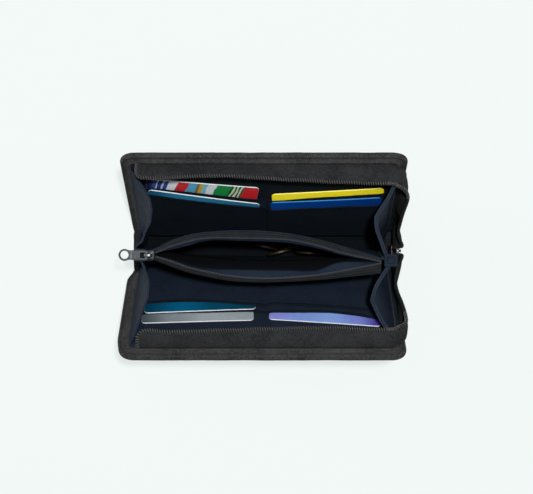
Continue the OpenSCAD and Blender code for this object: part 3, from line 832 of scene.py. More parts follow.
def build_slots(name, side, row):
    """Panel of two card slots, in the outer row at the cover or the inner row in front of it."""
    outer = row == "outer"
    # The rear inner slots are darkened with painted shade
    lining = "pocket_lining" if side == REAR and not outer else "polyester_lining"
    foot_v = 5 if outer else 2.2
    back_n, face_n = (-3.3, -4.76) if outer else (-5.35, -6.92)
    bulge = sizes().bulge / MM
    body = f"{name}_cover"

    def place(u, w):
        x = -SLOTS_X + u * 2 * SLOTS_X
        full = column_fullness(x)
        v = foot_v + w * (hem_height(side, row, x) - foot_v)
        swell = bulge * full * (0.35 + 0.65 * math.sin(math.pi * min(w * 1.1, 1)))
        swell += gape(side, row, x, v)
        ripple = noise.noise((x * 0.045, v * 0.06, side * 5 + (3 if outer else 9))) * 0.45 * full
        ripple += 0.12 * noise.noise((x * 0.2, v * 0.2, side)) * full
        return on_cover(side, x, v, back_n + (face_n - back_n) * full - swell + ripple)

    def hem(u, w):
        cosine, sine = ring(w)
        spot = Vector(place(u, 1))
        across = (Vector(place(u, 0.98)) - spot).normalized()
        out = (on_cover(side, 0, 0, -1) - on_cover(side, 0, 0, 0)).normalized()
        return spot + out * 0.55 * cosine + across * (1.1 + 1.4 * sine)

    steps = 60
    height = sum(hem_height(side, row, SLOTS_X * (2 * i / steps - 1)) for i in range(steps)) / steps
    size = (2 * SLOTS_X, height - foot_v)
    bm = warped_grid((120, 24), size, place)
    nodes = [f"{name}_{row}_slots"]
    panel = put(f"{name}_{row}_pockets", bm, [lining], body, nodes, thick=0.45)
    edge = warped_grid((120, 10), (2 * SLOTS_X, 6), hem, weld=True)
    # The hems are darkened with painted shade, standing in for the shadow under them
    roll = put(f"{name}_{row}_pocket_hem", edge, ["pocket_lining"], body)
    declare(panel, size)


class WALLET_OT_slots(bpy.types.Operator):
    """Build the card slots of both covers"""

    bl_idname = "wallet.slots"
    bl_label = "Card slots"

    def execute(self, context):
        for name, side in SIDES.items():
            for row in ("outer", "inner"):
                build_slots(name, side, row)
        return {"FINISHED"}


OUTER_BACK_N, INNER_BACK_N = -3.3, -5.46
# Cards: cover, place along it, height of the foot, lean in degrees, depth of the back, and print
CARDS = {
    "rear_left_outer": (REAR, -49, 21, -8.2, OUTER_BACK_N, "mixed"),
    "rear_left_inner": (REAR, -48.8, 9.4, -9, INNER_BACK_N, "teal"),
    "rear_right_outer": (REAR, 50.6, 12, 3, OUTER_BACK_N, "yellow"),
    "rear_right_inner": (REAR, 50.3, 5.8, 5.2, INNER_BACK_N, "blue"),
    "front_left_outer": (FRONT, -51, 16, -2.5, OUTER_BACK_N, "grey"),
    "front_left_inner": (FRONT, -50, 5.6, -3.4, INNER_BACK_N, "deep_teal"),
    "front_right_outer": (FRONT, 49.6, 17.5, 6, OUTER_BACK_N, "lilac"),
}
# Prints: margin, bands as shares of the length, slant, waviness in millimetres, and glow, which is painted
# light that brightens the card
PRINTS = {
    "mixed": (
        "#eef2f3",
        (
            (0, "#1b2450"), (0.06, "#2c4a9c"), (0.09, "#cdd8ea"), (0.105, "#1f3478"), (0.14, "#b9c8e2"),
            (0.155, "#24469a"), (0.19, "#e8edf0"), (0.27, "#d02a31"), (0.37, "#58aacb"),
            (0.45, "#7a6a4a"), (0.47, "#d9a91f"), (0.5, "#7fc0d6"), (0.54, "#e3e9ec"),
            (0.62, "#1f8f45"), (0.75, "#0f4a26"), (0.765, "#cfdcc0"), (0.785, "#14602f"),
            (0.8, "#d5dfc4"), (0.82, "#14602f"), (0.835, "#d5dfc4"), (0.85, "#14602f"), (0.865, "#d0282f"),
        ),
        -0.18,
        3,
    ),
    "teal": ("#eef2f3", ((0, "#1b5f86"), (0.3, "#3189b4"), (1, "#2a7fa8"))),
    "yellow": ("#fbf07a", ((0, "#f6e526"), (0.6, "#f6e224"), (1, "#ecd920")), 0, 0, 0.2),
    "blue": ("#2f86cf", ((0, "#0a4ca2"), (0.5, "#06459a"), (1, "#053b88"))),
    "grey": ("#eef1f3", ((0, "#4f5a5e"), (0.3, "#8d979c"), (0.6, "#a6b0b5"), (1, "#9ca6ab"))),
    "deep_teal": ("#e9eef0", ((0, "#083f5c"), (0.35, "#07648d"), (0.65, "#064d6b"), (1, "#083d52"))),
    "lilac": (
        "#dde2f4",
        ((0, "#9293e4"), (0.3, "#84a0e4"), (0.55, "#8aaceb"), (0.78, "#8190e2"), (1, "#4a2f96")),
    ),
}


def build_card(name, side, x, foot_v, lean, back_n, print_name):
    """Card with round corners and a thin white edge, bent a little along its length."""
    half = (CARD_L / 2, CARD_H / 2)
    turn = Matrix.Rotation(math.radians(lean), 2)
    skin = 0.06
    section = [
        (24, 0), (14, 0), (4, 0), (0.5, 0), (skin, 0), (0, skin), (0, CARD_T - skin),
        (skin, CARD_T), (0.5, CARD_T), (4, CARD_T), (14, CARD_T), (24, CARD_T),
    ]
    row = "inner" if back_n == INNER_BACK_N else "outer"

    def place(along, up, level):
        bend = 0.18 * (1 - (along / half[0]) ** 2)
        spot = turn @ Vector((along, up))
        v = foot_v + half[1] + spot.y
        return on_cover(side, x + spot.x, v, back_n - level - bend - gape(side, row, x + spot.x, v))

    bm = pad((-half[0], -half[1]), half, (CARD_R, CARD_R), section, place)
    finish = f"print_{print_name}"
    margin, stops, *how = PRINTS[print_name]
    MAKERS.setdefault(finish, (printed, stops[0][1], stops, margin, *how))
    body = f"{name}_card"
    edge = finish if print_name in ("yellow", "blue") else "pvc_core"
    put(f"{name}_plastic", bm, [finish, edge], body, [body])


class WALLET_OT_cards(bpy.types.Operator):
    """Build the cards in their slots"""

    bl_idname = "wallet.cards"
    bl_label = "Cards"

    def execute(self, context):
        for name, values in CARDS.items():
            build_card(name, *values)
        return {"FINISHED"}


# Main zip. The lean is how far the tape's free edge stands away from its seam, out from the cover's middle
LEAN = {
    REAR: (
        (-93, 0), (-75.6, -0.4), (-46, 2.5), (-24, 2.5), (-0.7, -0.4), (27, -3.2), (60.4, -6.1),
        (91.8, -7.8), (98, -7.2), (104.3, -5.5), (109.9, -3.6), (115.6, 1.75), (123.7, 5.0),
        (132, 5.3), (143.6, 4.3), (155.3, 3.4), (171.6, 3.0),
    ),
    FRONT: (
        (-93, -3), (-83, -5.6), (-68.4, -3.7), (-40, -5.2), (-9.6, -6.8), (27.3, -8.1),
        (56.8, -8.4), (84.8, -6.2), (95.6, -6.5), (107.4, -3.2), (111.1, 0.6), (114.1, 2.9),
        (119, 3.5), (128.8, 3.0), (138.7, 1.9), (148.7, 0.2), (159, -0.6), (171.6, 0),
    ),
}
ARC_START = TAPE_X - ZIP_CORNER_R
ARC_LENGTH = math.pi / 2 * ZIP_CORNER_R


def seam_point(s):
    """Seam of the main tape: place along and up the cover, and direction away from its middle.

    s runs with x along the top, then round the corner and down.
    """
    if s <= ARC_START:
        return s, TAPE_V, 0, 1
    if s <= ARC_START + ARC_LENGTH:
        turn = (s - ARC_START) / ZIP_CORNER_R
        sine, cosine = math.sin(turn), math.cos(turn)
        centre_v = TAPE_V - ZIP_CORNER_R
        return ARC_START + ZIP_CORNER_R * sine, centre_v + ZIP_CORNER_R * cosine, sine, cosine
    return TAPE_X, TAPE_V - ZIP_CORNER_R - (s - ARC_START - ARC_LENGTH), 1, 0


def end_of_path(v):
    """s of a height on the tape's right side."""
    return ARC_START + ARC_LENGTH + TAPE_V - ZIP_CORNER_R - v


# Place along the tape where its coil turns away from the light
BRIGHT_END_S = 126
# How far the tape stands out where it turns the corner
CORNER_BELLY = 3.6


def tape_point(side, s, w):
    """Point of the main tape at s along its seam and w out from it."""
    x, v, out_x, out_v = seam_point(s)
    lean = through(LEAN[side], s) * (max(w, 0) / TAPE_W) ** 1.4
    wave = 0.25 * math.sin(s * 0.21 + side) * (w / TAPE_W) ** 2
    arch = math.sin(math.pi * min(max(w / TAPE_W, 0), 1))
    near = math.sin(math.pi * min(max(w / TAPE_W, 0), 1) ** 0.65)
    lift = 0.6 * arch + CORNER_BELLY * near * ease((s - 97) / 9) * ease((136 - s) / 16)
    pucker = 0.3 * noise.noise((s * 0.16, w * 0.2, side * 4)) * arch
    seam_n = -2.7 - 0.3 * ease((100 - x) / 10)
    return on_cover(
        side,
        x + out_x * (lean + lift - 0.4 * arch + pucker),
        v + out_v * (lean + lift + pucker) + wave * out_v,
        seam_n - w,
    )


def tape_frame(side, s, w):
    """Point of the tape with its directions along, across and out of the cloth."""
    spot = tape_point(side, s, w)
    along = (tape_point(side, s + 0.3, w) - tape_point(side, s - 0.3, w)).normalized()
    across = (tape_point(side, s, w + 0.3) - tape_point(side, s, w - 0.3)).normalized()
    return spot, along, across, along.cross(across).normalized()


TAPE_END_R = 5
COIL_W = 12.5


TAPE_REACH = 12.1
COIL_WIRE_R = 0.3
# Half width and half height of each coil, and the radii of the yarn in the main one, of the coin zip's
# wire and of the sewing thread
COIL_HALVES, WEB_COIL_HALVES, COIN_COIL_HALVES = (1.3, 1.2), (1.4, 1.1), (0.6, 0.55)
YARN_R, COIN_WIRE_R, THREAD_R = 1.05, 0.24, 0.13
TAPE_STEPS = (240, 12)


def build_tape(name, side):
    """Main tape on a cover, with its rounded left end."""
    end = end_of_path(WEB_TOP_V)
    span = end - TAPE_START_X

    def place(u, w):
        s = TAPE_START_X + u * span
        near = min(max((s - TAPE_START_X) / TAPE_END_R, 0), 1)
        reach = TAPE_REACH - TAPE_END_R * (1 - math.sqrt(1 - (1 - near) ** 2))
        return tape_point(side, s, w * reach)

    bm = warped_grid(TAPE_STEPS, (span, TAPE_REACH), place)
    body = f"{name}_cover"
    nodes = [f"{name}_zip_tape", f"{name}_zip_fold"]
    tape = put(f"{name}_tape", bm, ["woven_tape"], body, nodes, thick=0.6)
    declare(tape, (span, TAPE_REACH))

    straight = COIL_W - TAPE_END_R
    arc = math.pi / 2 * TAPE_END_R
    total = straight + arc + (span - TAPE_END_R)

    def flat(t):
        """Place on the tape, and direction, at a length along the coil."""
        if t < straight:
            return TAPE_START_X, t, (0, 1)
        if t < straight + arc:
            turn = (t - straight) / TAPE_END_R
            sine, cosine = math.sin(turn), math.cos(turn)
            return TAPE_START_X + TAPE_END_R * (1 - cosine), straight + TAPE_END_R * sine, (sine, cosine)
        return TAPE_START_X + TAPE_END_R + t - straight - arc, COIL_W, (1, 0)

    def frame_at(t):
        s, w, (a, b) = flat(t)
        spot, along, across, out = tape_frame(side, s, w)
        forward = (along * a + across * b).normalized()
        return spot, out.cross(forward).normalized(), out

    points = coil_points(frame_at, total, sizes().pitch / MM, *COIL_HALVES)
    bright = round(len(points) * (total - end + BRIGHT_END_S) / total)
    coil = [f"{name}_zip_coil"]
    strand(f"{name}_coil", points[:bright], COIL_WIRE_R, "nylon_coil", body, coil)
    # The coil's turns past that place, turned from the light, are painted in shade with the black yarn
    strand(f"{name}_side_coil", points[bright - 1 :], COIL_WIRE_R, "filler_yarn", body, coil)
    core = [frame_at(total * i / 260)[0] for i in range(261)]
    strand(f"{name}_yarn", core, YARN_R, "filler_yarn", body, rounds=1)


def web_edges(side):
    """Free edge of the tape where it leaves a cover and comes together at the main slider."""
    steps = [
        (106.2 if side == REAR else 105.0, 14, 36.4), (107.4, 8.5, 36.2), (109.2, 4.2, 35),
        (107.2, 3.0, 32), (SHUT_X, 2.7, SHUT_TOP_Z - 2), (SHUT_X, 2.7, 20), (SHUT_X, 2.7, SHUT_FOOT_Z),
    ]
    edge = [tape_point(side, end_of_path(v), COIL_W) for v in (WEB_TOP_V, WEB_TOP_V - 7)]
    return edge + [Vector((x, side * y, z)) for x, y, z in steps]


# Length of the coil between a cover and the foot of the main zip
WEB_COIL_L = 46


def build_web(name, side):
    """Tape and coil between a cover and the main slider."""
    edge = web_edges(side)
    top_s = end_of_path(WEB_TOP_V)
    foot_s = end_of_path(3)

    def seam(u):
        return tape_point(side, top_s + (foot_s - top_s) * min(u * 1.05, 1), 0)

    def place(u, w):
        slack = 1.6 * math.sin(math.pi * w) * math.sin(math.pi * min(u * 1.3, 1))
        return seam(u).lerp(path_point(edge, u), w) + Vector((slack, 0, 0))

    def centre(t):
        return path_point(edge, t / WEB_COIL_L)

    def frame_at(t):
        spot = centre(t)
        across = (spot - seam(t / WEB_COIL_L)).normalized()
        ahead = centre(min(t + 0.4, WEB_COIL_L)) - centre(max(t - 0.4, 0))
        return spot, across, across.cross(ahead).normalized()

    size = (44, 13)
    bm = warped_grid((48, 12), size, place)
    # The web takes the blacker coin tape in place of the main tape: painted shade, as it lies in shadow
    web = put(f"{name}_web", bm, ["coin_tape"], thick=0.6)
    points = coil_points(frame_at, WEB_COIL_L, sizes().pitch / MM, *WEB_COIL_HALVES)
    # Its coil is painted in shade with the black yarn
    coil = strand(f"{name}_web_coil", points, COIL_WIRE_R, "filler_yarn")
    core = [centre(WEB_COIL_L * i / 40) for i in range(41)]
    yarn = strand(f"{name}_web_yarn", core, 0.9, "filler_yarn", rounds=1)
    start, end = (0, side * 0.003, 0), (0, side * 0.022, 0)
    for piece in (web, coil, yarn):
        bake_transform(piece)
        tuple(start)
        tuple(end)
    declare(web, size)


class WALLET_OT_main_zip(bpy.types.Operator):
    """Build the main zip's tapes and coils"""

    bl_idname = "wallet.main_zip"
    bl_label = "Main zip"

    def execute(self, context):
        for name, side in SIDES.items():
            build_tape(name, side)
            build_web(name, side)
        self.stop()
        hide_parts("shut_zip_coil")
        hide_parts("shut_zip_tape")
        return {"FINISHED"}

    def stop(self):
        """Fabric stop that closes the foot of the main zip against the spine."""

        def place(u, w):
            x = GUSSET_X + u * (SHUT_X + 3.5 - GUSSET_X)
            return (x, (w - 0.5) * 9.6, 7 + 7 * ease(u) - 1.5 * abs(w - 0.5))

        size = (12, 10)
        bm = warped_grid((14, 12), size, place)
        stop = put("zip_stop", bm, ["filler_yarn"], "root", (), thick=0.6)
        declare(stop, size)


# Gussets


def face_y(z, side):
    """Distance of a cover's inner face from the middle, at a height."""
    tilt = TILT[side]
    return HINGE_Y + math.tan(tilt) * (z - HINGE_Z) - (COVER_HALF_T + 0.35) / math.cos(tilt)


GUSSET_DEPTH, GUSSET_FOOT_DEPTH = 17, 6
# Folded hem of each half gusset: depth inwards from its sewn edge, and distance from the middle
GUSSET_FOLDS = {
    (-1, REAR): (
        (0, 59.6), (2.6, 58.5), (10.6, 47.3), (15.3, 38.8), (16.8, 30.3), (15.6, 21), (12.1, 14.2),
        (9.6, 7.3), (4.9, 3.0), (6.8, -3.1),
    ),
    (-1, FRONT): (
        (0, 69.3), (3.7, 63.3), (7.4, 52.8), (11.1, 42.4), (14.1, 34.2), (14.6, 23.1), (12.6, 15.6),
        (9.6, 8.2), (6.8, 3.1),
    ),
    (1, REAR): (
        (0, 59.6), (1.6, 50), (6.5, 39.8), (12.8, 30.3), (15.5, 25.6), (15.6, 20.1), (14.7, 14.9),
        (11.7, 6.7), (8.4, -3), (6.8, -6.8),
    ),
    (1, FRONT): (
        (0, 69.3), (4.4, 62.5), (11.9, 51.4), (15.6, 43.9), (18.6, 37.2), (18.1, 34.2), (15.5, 26),
        (10.2, 17.1), (6.8, 11.9), (6.8, 6.8),
    ),
}


def gusset_plan(end, side, u, share):
    """Point of half a gusset in plan: end is -1 for the left, share is the height's."""
    z = GUSSET_FOOT_Z + share * (HEM_TOP_Z - GUSSET_FOOT_Z)
    folds = GUSSET_FOLDS[end, side]
    inward, y = angled(folds, u)
    inward *= (GUSSET_FOOT_DEPTH + share * (GUSSET_DEPTH - GUSSET_FOOT_DEPTH)) / GUSSET_DEPTH
    edge, middle = folds[0][1], folds[-1][1]
    low, high = middle * share, face_y(z, side)
    return inward, low + (y - middle) * (high - low) / (edge - middle), z


def gusset_point(end, side, u, share):
    """Point of half a gusset, with its small creases."""
    inward, y, z = gusset_plan(end, side, u, share)
    free = math.sin(math.pi * u)
    fold = 0.8 * noise.noise((u * 4, share * 3, end * 3 + side)) * free
    fold += 0.3 * math.sin(share * 22 + u * 5 + 2 * noise.noise((u * 3, share * 4, end))) * free
    fold *= 1 - 0.8 * ease((share - 0.9) * 10)
    return Vector((end * (GUSSET_X - inward - fold), side * y, z))


def build_gusset(end_name, end, name, side):
    """Half a gusset, with its rolled hem."""
    label = f"{end_name}_{name}"
    half_w = 0.85 if end < 0 else 1.5

    def hem(u, w):
        cosine, sine = ring(w)
        spot = gusset_point(end, side, u, 1)
        after = gusset_point(end, side, min(u + 0.02, 1), 1)
        ahead = after - gusset_point(end, side, max(u - 0.02, 0), 1)
        flat = Vector((-ahead.y, ahead.x, 0)).normalized()
        ridge = 0.55 + 0.45 * cosine**2 if sine > 0 else 1
        return spot + flat * half_w * cosine + Vector((0, 0, 1.4 * ridge * sine - 1.2))

    size = (62 if side == REAR else 68, 78)
    bm = warped_grid((63, 40), size, lambda u, w: gusset_point(end, side, u, w))
    nodes = [f"{label}_gusset"]
    fold = put(f"{label}_fold", bm, ["polyester_lining"], None, nodes, thick=0.6)
    edge = warped_grid((63, 16), (64, 9), hem, weld=True)
    # The hem is a little lighter than the fold: painted highlight on its rolled top
    roll = put(f"{label}_roll", edge, ["polyester_hem"], None, [f"{label}_hem"])
    far = Vector((0, side * face_y(GUSSET_TOP_Z, side) * MM, GUSSET_TOP_Z * MM))
    for piece in (fold, roll):
        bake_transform(piece)
    declare(fold, size)


class WALLET_OT_gussets(bpy.types.Operator):
    """Build the folding gussets at both ends"""

    bl_idname = "wallet.gussets"
    bl_label = "Gussets"

    def execute(self, context):
        for end_name, end in ENDS.items():
            for name, side in SIDES.items():
                build_gusset(end_name, end, name, side)
        return {"FINISHED"}


# Coin pocket: distance of the lips' edges from the middle, along the wallet
LIP_OUTER = {
    REAR: (
        (-88, -1.4), (-82, 0.6), (-68, 7.6), (-54, 11.9), (-35.7, 14.2), (-13.4, 14.9), (5.2, 14.2),
        (27.5, 11.2), (49.8, 6), (72, -0.8), (88, -5.7),
    ),
    FRONT: (
        (-88, -4.4), (-82, -6), (-68, -11.4), (-54, -16.0), (-24.5, -21.8), (1.5, -22.9), (27.5, -22.0),
        (47.6, -20.6), (70, -18.2), (88, -16.2),
    ),
}
LIP_INNER = {
    REAR: (
        (-88, -2.5), (-82, -1.9), (-68, 3.6), (-52, 8.1), (-39, 9.8), (-17, 9.7), (5, 9.2), (22, 8.0),
        (42, 3.6), (59.5, -1.5), (75, -5), (88, -7.9),
    ),
    FRONT: (
        (-88, -3.3), (-82, -3.6), (-68, -7.6), (-54.3, -12.4), (-24.5, -18.4), (1.5, -20.3), (27.5, -19.0),
        (47.6, -16.8), (70, -12.6), (88, -9.0),
    ),
}
# Lower edge of the lining that shows inside the mouth; the lining darkened with painted shade begins under
# it
LIP_BAND = {
    REAR: (
        (-88, -3.2), (-60, 3), (-40, 8.0), (-17, 7.6), (5, 7.0), (22, 5.6), (42, 1.6), (59.5, -3.2),
        (75, -6.2), (88, -8.2),
    ),
    FRONT: (
        (-88, -3.3), (-81, -3.9), (-73, -5.4), (-61.8, -8.5), (-50.6, -11.9), (-35.7, -13.75),
        (-13.4, -14.1), (20, -14.7), (38.7, -14.9), (46, -12.6), (53.6, -9.4), (61, -8.2),
        (72, -8.2), (88, -8.6),
    ),
}
LIP_START_X = -80


def belly_y(x, half_w):
    """Half width of the pocket at a place along it, full in the middle and thin at its ends."""
    return 0.9 + (half_w - 0.9) * (1 - (x / POCKET_X) ** 2)


def yaw_y(x):
    """Shift of the pocket's middle at a place along it."""
    return -x * math.sin(POCKET_YAW)


def pocket_side_point(side, x, z):
    """Point of a pocket's wall or lip."""
    if z <= BELLY_Z:
        share = (z - POCKET_FOOT_Z) / (BELLY_Z - POCKET_FOOT_Z)
        half_w = FOOT_HALF_W + share * (BELLY_HALF_W - FOOT_HALF_W)
        return Vector((x, yaw_y(x) * share + side * belly_y(x, half_w), z))
    share = (z - BELLY_Z) / (MOUTH_Z - BELLY_Z)
    low = yaw_y(x) + side * belly_y(x, BELLY_HALF_W)
    high = through(LIP_OUTER[side], x)
    ripple = 0.5 * noise.noise((x * 0.05, z * 0.08, side * 11)) * math.sin(math.pi * share)
    return Vector((x, low + (high - low) * share**1.15 + ripple, z))


def squash_lips(piece):
    """Gives a piece of the pocket a mesh of its own."""
    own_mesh(piece)


def pocket_cloth(name, steps, size, place, finish, nodes=(), thick=0.5):
    """Piece of the coin pocket's cloth, with a mesh of its own."""
    piece = put(name, warped_grid(steps, size, place), [finish], "root", nodes, thick)
    squash_lips(piece)
    return piece


def build_pocket_side(name, side):
    """Wall, lip, tape and coil on one side of the coin pocket."""
    mouth_l = POCKET_X - LIP_START_X
    drop = 0.4 if side == REAR else 2.2

    def between(first, second, x, w):
        """Distance from the middle at share w between two of the lips' edges."""
        return through(first[side], x) * (1 - w) + through(second[side], x) * w

    def wall(u, w):
        x = (u - 0.5) * 2 * POCKET_X
        return pocket_side_point(side, x, POCKET_FOOT_Z + w * (BELLY_Z - POCKET_FOOT_Z))

    def lip(u, w):
        x = (u - 0.5) * 2 * POCKET_X
        return pocket_side_point(side, x, BELLY_Z + w * (MOUTH_Z - BELLY_Z))

    def hem(u, w):
        x = LIP_START_X - 4 + u * (mouth_l + 4)
        cosine, sine = ring(w)
        return pocket_side_point(side, x, MOUTH_Z) + Vector((0, 0.45 * cosine, 0.6 * sine))

    def tape(u, w):
        x = LIP_START_X + u * mouth_l
        z = MOUTH_Z + 0.9 + (1 - w) * -drop + 0.5 * math.sin(math.pi * w)
        return (x, between(LIP_OUTER, LIP_INNER, x, w), z)

    def facing(u, w):
        """Band of lining inside the mouth, from the coil down to the lining darkened with painted shade."""
        x = LIP_START_X + u * mouth_l
        ripple = 0.25 * noise.noise((x * 0.12, w * 2, side * 9)) * w
        return (x, between(LIP_INNER, LIP_BAND, x, w) + ripple, MOUTH_Z + 0.7 - 3 * w)

    def inside(u, w):
        """Lining darkened with painted shade under that band, down into the pocket."""
        x = LIP_START_X + u * mouth_l
        low = yaw_y(x) + side * (belly_y(x, BELLY_HALF_W) - 0.9)
        high = through(LIP_BAND[side], x)
        z = MOUTH_Z - 2.2 - w * (MOUTH_Z - 2.2 - BELLY_Z)
        return (x, high + (low - high) * w**0.8, z)

    size = (2 * POCKET_X, BELLY_Z - POCKET_FOOT_Z)
    nodes = [f"coin_{name}_wall"]
    # The pocket's walls are darkened with painted shade
    piece = pocket_cloth(f"coin_{name}_side", (60, 20), size, wall, "pocket_lining", nodes)
    declare(piece, size)
    size = (2 * POCKET_X, 26)
    nodes = [f"coin_{name}_lip"]
    flare = pocket_cloth(f"coin_{name}_flare", (80, 12), size, lip, "polyester_lining", nodes)
    # The rear lip's hem is painted lighter, standing in for light on it
    finish = "lip_hem" if side == REAR else "coin_tape"
    edge = warped_grid((80, 8), (172, 5), hem, weld=True)
    roll = put(f"coin_{name}_edge", edge, [finish], "root", ())
    squash_lips(roll)
    declare(flare, size)
    size = (mouth_l, 5)
    nodes = [f"coin_{name}_tape"]
    piece = pocket_cloth(f"coin_{name}_strip", (100, 8), size, tape, "coin_tape", nodes, 0.6)
    declare(piece, size)
    size = (mouth_l, 10)
    piece = pocket_cloth(f"coin_{name}_facing", (100, 8), size, facing, "polyester_lining", thick=0.3)
    declare(piece, size)
    size = (mouth_l, 22)
    # The inside of the pocket is darkened with painted shade
    piece = pocket_cloth(f"coin_{name}_inside", (80, 10), size, inside, "foot_lining", thick=0.3)
    declare(piece, size)

    def line(t):
        x = LIP_START_X + t
        return Vector((x, through(LIP_INNER[side], x), MOUTH_Z + 1.3))

    def frame_at(t):
        ahead = line(t + 0.3) - line(t - 0.3)
        return line(t), Vector((-ahead.y, ahead.x, 0)).normalized(), Vector((0, 0, 1))

    points = coil_points(frame_at, mouth_l, sizes().fine_pitch / MM, *COIN_COIL_HALVES)
    nodes = [f"coin_{name}_coil"]
    strands = [strand(f"coin_{name}_turns", points, COIN_WIRE_R, "coin_nylon", "root", nodes)]
    for k, place in enumerate((0.3, 0.72)):
        points = [Vector(tape(i / 80, place)) + Vector((0, 0, 0.4)) for i in range(81)]
        stitch = f"coin_{name}_stitch_{k}"
        strands.append(strand(stitch, points, THREAD_R, "sewing_thread", "root"))
    for piece in strands:
        squash_lips(piece)


class WALLET_OT_pocket(bpy.types.Operator):
    """Build the zipped coin pocket"""

    bl_idname = "wallet.pocket"
    bl_label = "Coin pocket"

    def execute(self, context):
        for name, side in SIDES.items():
            build_pocket_side(name, side)

        def floor(u, w):
            x = (u - 0.5) * 2 * POCKET_X
            return (x, (w - 0.5) * 2 * belly_y(x, FOOT_HALF_W), SPINE_TOP_Z + 0.5)

        size = (2 * POCKET_X, 2 * FOOT_HALF_W)
        bm = warped_grid((60, 6), size, floor)
        nodes = ["coin_pocket_floor"]
        # The pocket's floor is darkened with painted shade
        piece = put("coin_floor", bm, ["foot_lining"], "root", nodes, thick=0.6)
        declare(piece, size)
        for end_name, end in ENDS.items():
            self.seam(end_name, end)
            self.tab(end_name)
        return {"FINISHED"}

    def seam(self, end_name, end):
        """Sewn side edge of the pocket."""
        node = f"coin_{end_name}_seam"
        low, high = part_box(node)

        def place(u, w):
            z = (low.z + u * (high.z - low.z)) / MM
            lean = -MOUTH_LEAN * max(0, z - BELLY_Z) / (MOUTH_Z - BELLY_Z)
            cosine, sine = ring(w)
            x = end * (POCKET_X + 1.4 + 1.4 * cosine)
            return (x, yaw_y(end * POCKET_X) * 0.5 + lean + 0.9 * sine, z)

        bm = warped_grid((30, 10), (80, 8), place, weld=True)
        # The edging takes the lighter hem cloth: painted highlight on its roll
        put(f"coin_{end_name}_edging", bm, ["polyester_hem"], "root", [node])

    def tab(self, end_name):
        """Folded fabric square over an end of the coin zip, with its middle sewn down."""
        node = f"coin_{end_name}_tab"
        low, high = (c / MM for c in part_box(node))
        section = [
            (4.5, 0), (2, 0), (0.4, 0.1), (0, 0.6), (0.1, 1.3), (0.5, 1.8), (1.1, 2.0),
            (1.9, 1.95), (2.4, 1.5), (2.8, 0.9), (3.4, 0.75), (4.5, 0.8),
        ]

        def place(x, y, z):
            return (x, y, low.z + z + 0.25 * noise.noise((x * 0.5, y * 0.5, z)))

        corners = (low.x + 2, low.y), (high.x + 2, high.y)
        bm = pad(*corners, (1.2, 1.2), section, place, edge_finish=0)
        put(f"coin_{end_name}_patch", bm, ["polyester_lining"], "root", [node])


# Sliders and pulls


def soft_plate(low, high, radii, thick, edge, place):
    """Plate with a rounded outline and softened edges."""
    half = min(high[0] - low[0], high[1] - low[1]) / 2
    section = [
        (half, 0), (edge, 0), (edge * 0.3, edge * 0.3), (0, edge),
        (0, thick - edge), (edge * 0.3, thick - edge * 0.3), (edge, thick), (half, thick),
    ]
    return pad(low, high, radii, section, place, edge_finish=0)


def join(target, *others):
    """Adds closed meshes to the first."""
    for other in others:
        mesh = bpy.data.meshes.new("part")
        other.to_mesh(mesh)
        other.free()
        target.from_mesh(mesh)
        bpy.data.meshes.remove(mesh)
    return target


def boxy(angle, power):
    """Cosine and sine of an angle, drawn out towards the corners of a box."""
    return [math.copysign(abs(part) ** power, part) for part in (math.cos(angle), math.sin(angle))]


def bar(start, end, half_w, half_t, up):
    """Round-cornered bar between two points."""
    ahead = (end - start).normalized()
    side = ahead.cross(up).normalized()
    rise = side.cross(ahead)

    def place(u, w):
        x, y = boxy(2 * math.pi * w, 0.6)
        taper = 1 - 0.25 * (2 * abs(u - 0.5)) ** 12
        return start.lerp(end, u) + side * x * half_w * taper + rise * y * half_t * taper

    return warped_grid((12, 16), (1, 1), place, weld=True)


def slider_mesh(reach, width, channel, plate, turn):
    """Zip slider with its nose towards +X, before it is turned into place: its body, and its bridge."""
    half_l, half_w = reach / 2, width / 2
    low, high = (-half_l, -half_w), (half_l, half_w)
    parts = []
    for level in (channel / 2, -channel / 2 - plate):

        def place(x, y, z):
            narrow = 0.78 + 0.22 * ease((x + half_l) / (reach * 0.6))
            return turn @ Vector((x, y * narrow, level + z))

        parts.append(soft_plate(low, high, (2.2, 2.2), plate, 0.3, place))
    for m in (-1, 1):
        for up in (-1, 1):
            z = up * (channel / 2 - 0.1)
            start = turn @ Vector((-half_l + 1, m * (half_w - 0.7) * 0.82, z))
            end = turn @ Vector((half_l - 2.2, m * (half_w - 0.45), z))
            parts.append(bar(start, end, 0.4, 0.45, turn.to_3x3() @ Vector((0, 0, 1))))
    top = channel / 2 + plate
    rises = ((-3.2, -0.2), (-3.0, 1.9), (-1.8, 3.0), (0, 3.2), (1.6, 3.0), (2.5, 1.9), (2.7, -0.2))
    arch = [Vector((x, 0, top + rise)) for x, rise in rises]

    def bridge(u, v):
        ahead = (path_point(arch, min(u + 0.02, 1)) - path_point(arch, max(u - 0.02, 0))).normalized()
        wide, high = boxy(2 * math.pi * v, 0.6)
        rise = Vector((0, 1, 0)).cross(ahead)
        return turn @ (path_point(arch, u) + Vector((0, wide * 1.2, 0)) + rise * high * 0.45)

    return join(*parts), warped_grid((16, 16), (1, 1), bridge, weld=True)


# Pull: its length, the radius of its eye and that of the hole in it, and the eye's middle along it
PULL_L, EYE_R, EYE_HOLE_R = 21.5, 4.45, 3.05
EYE_X = EYE_R - PULL_L


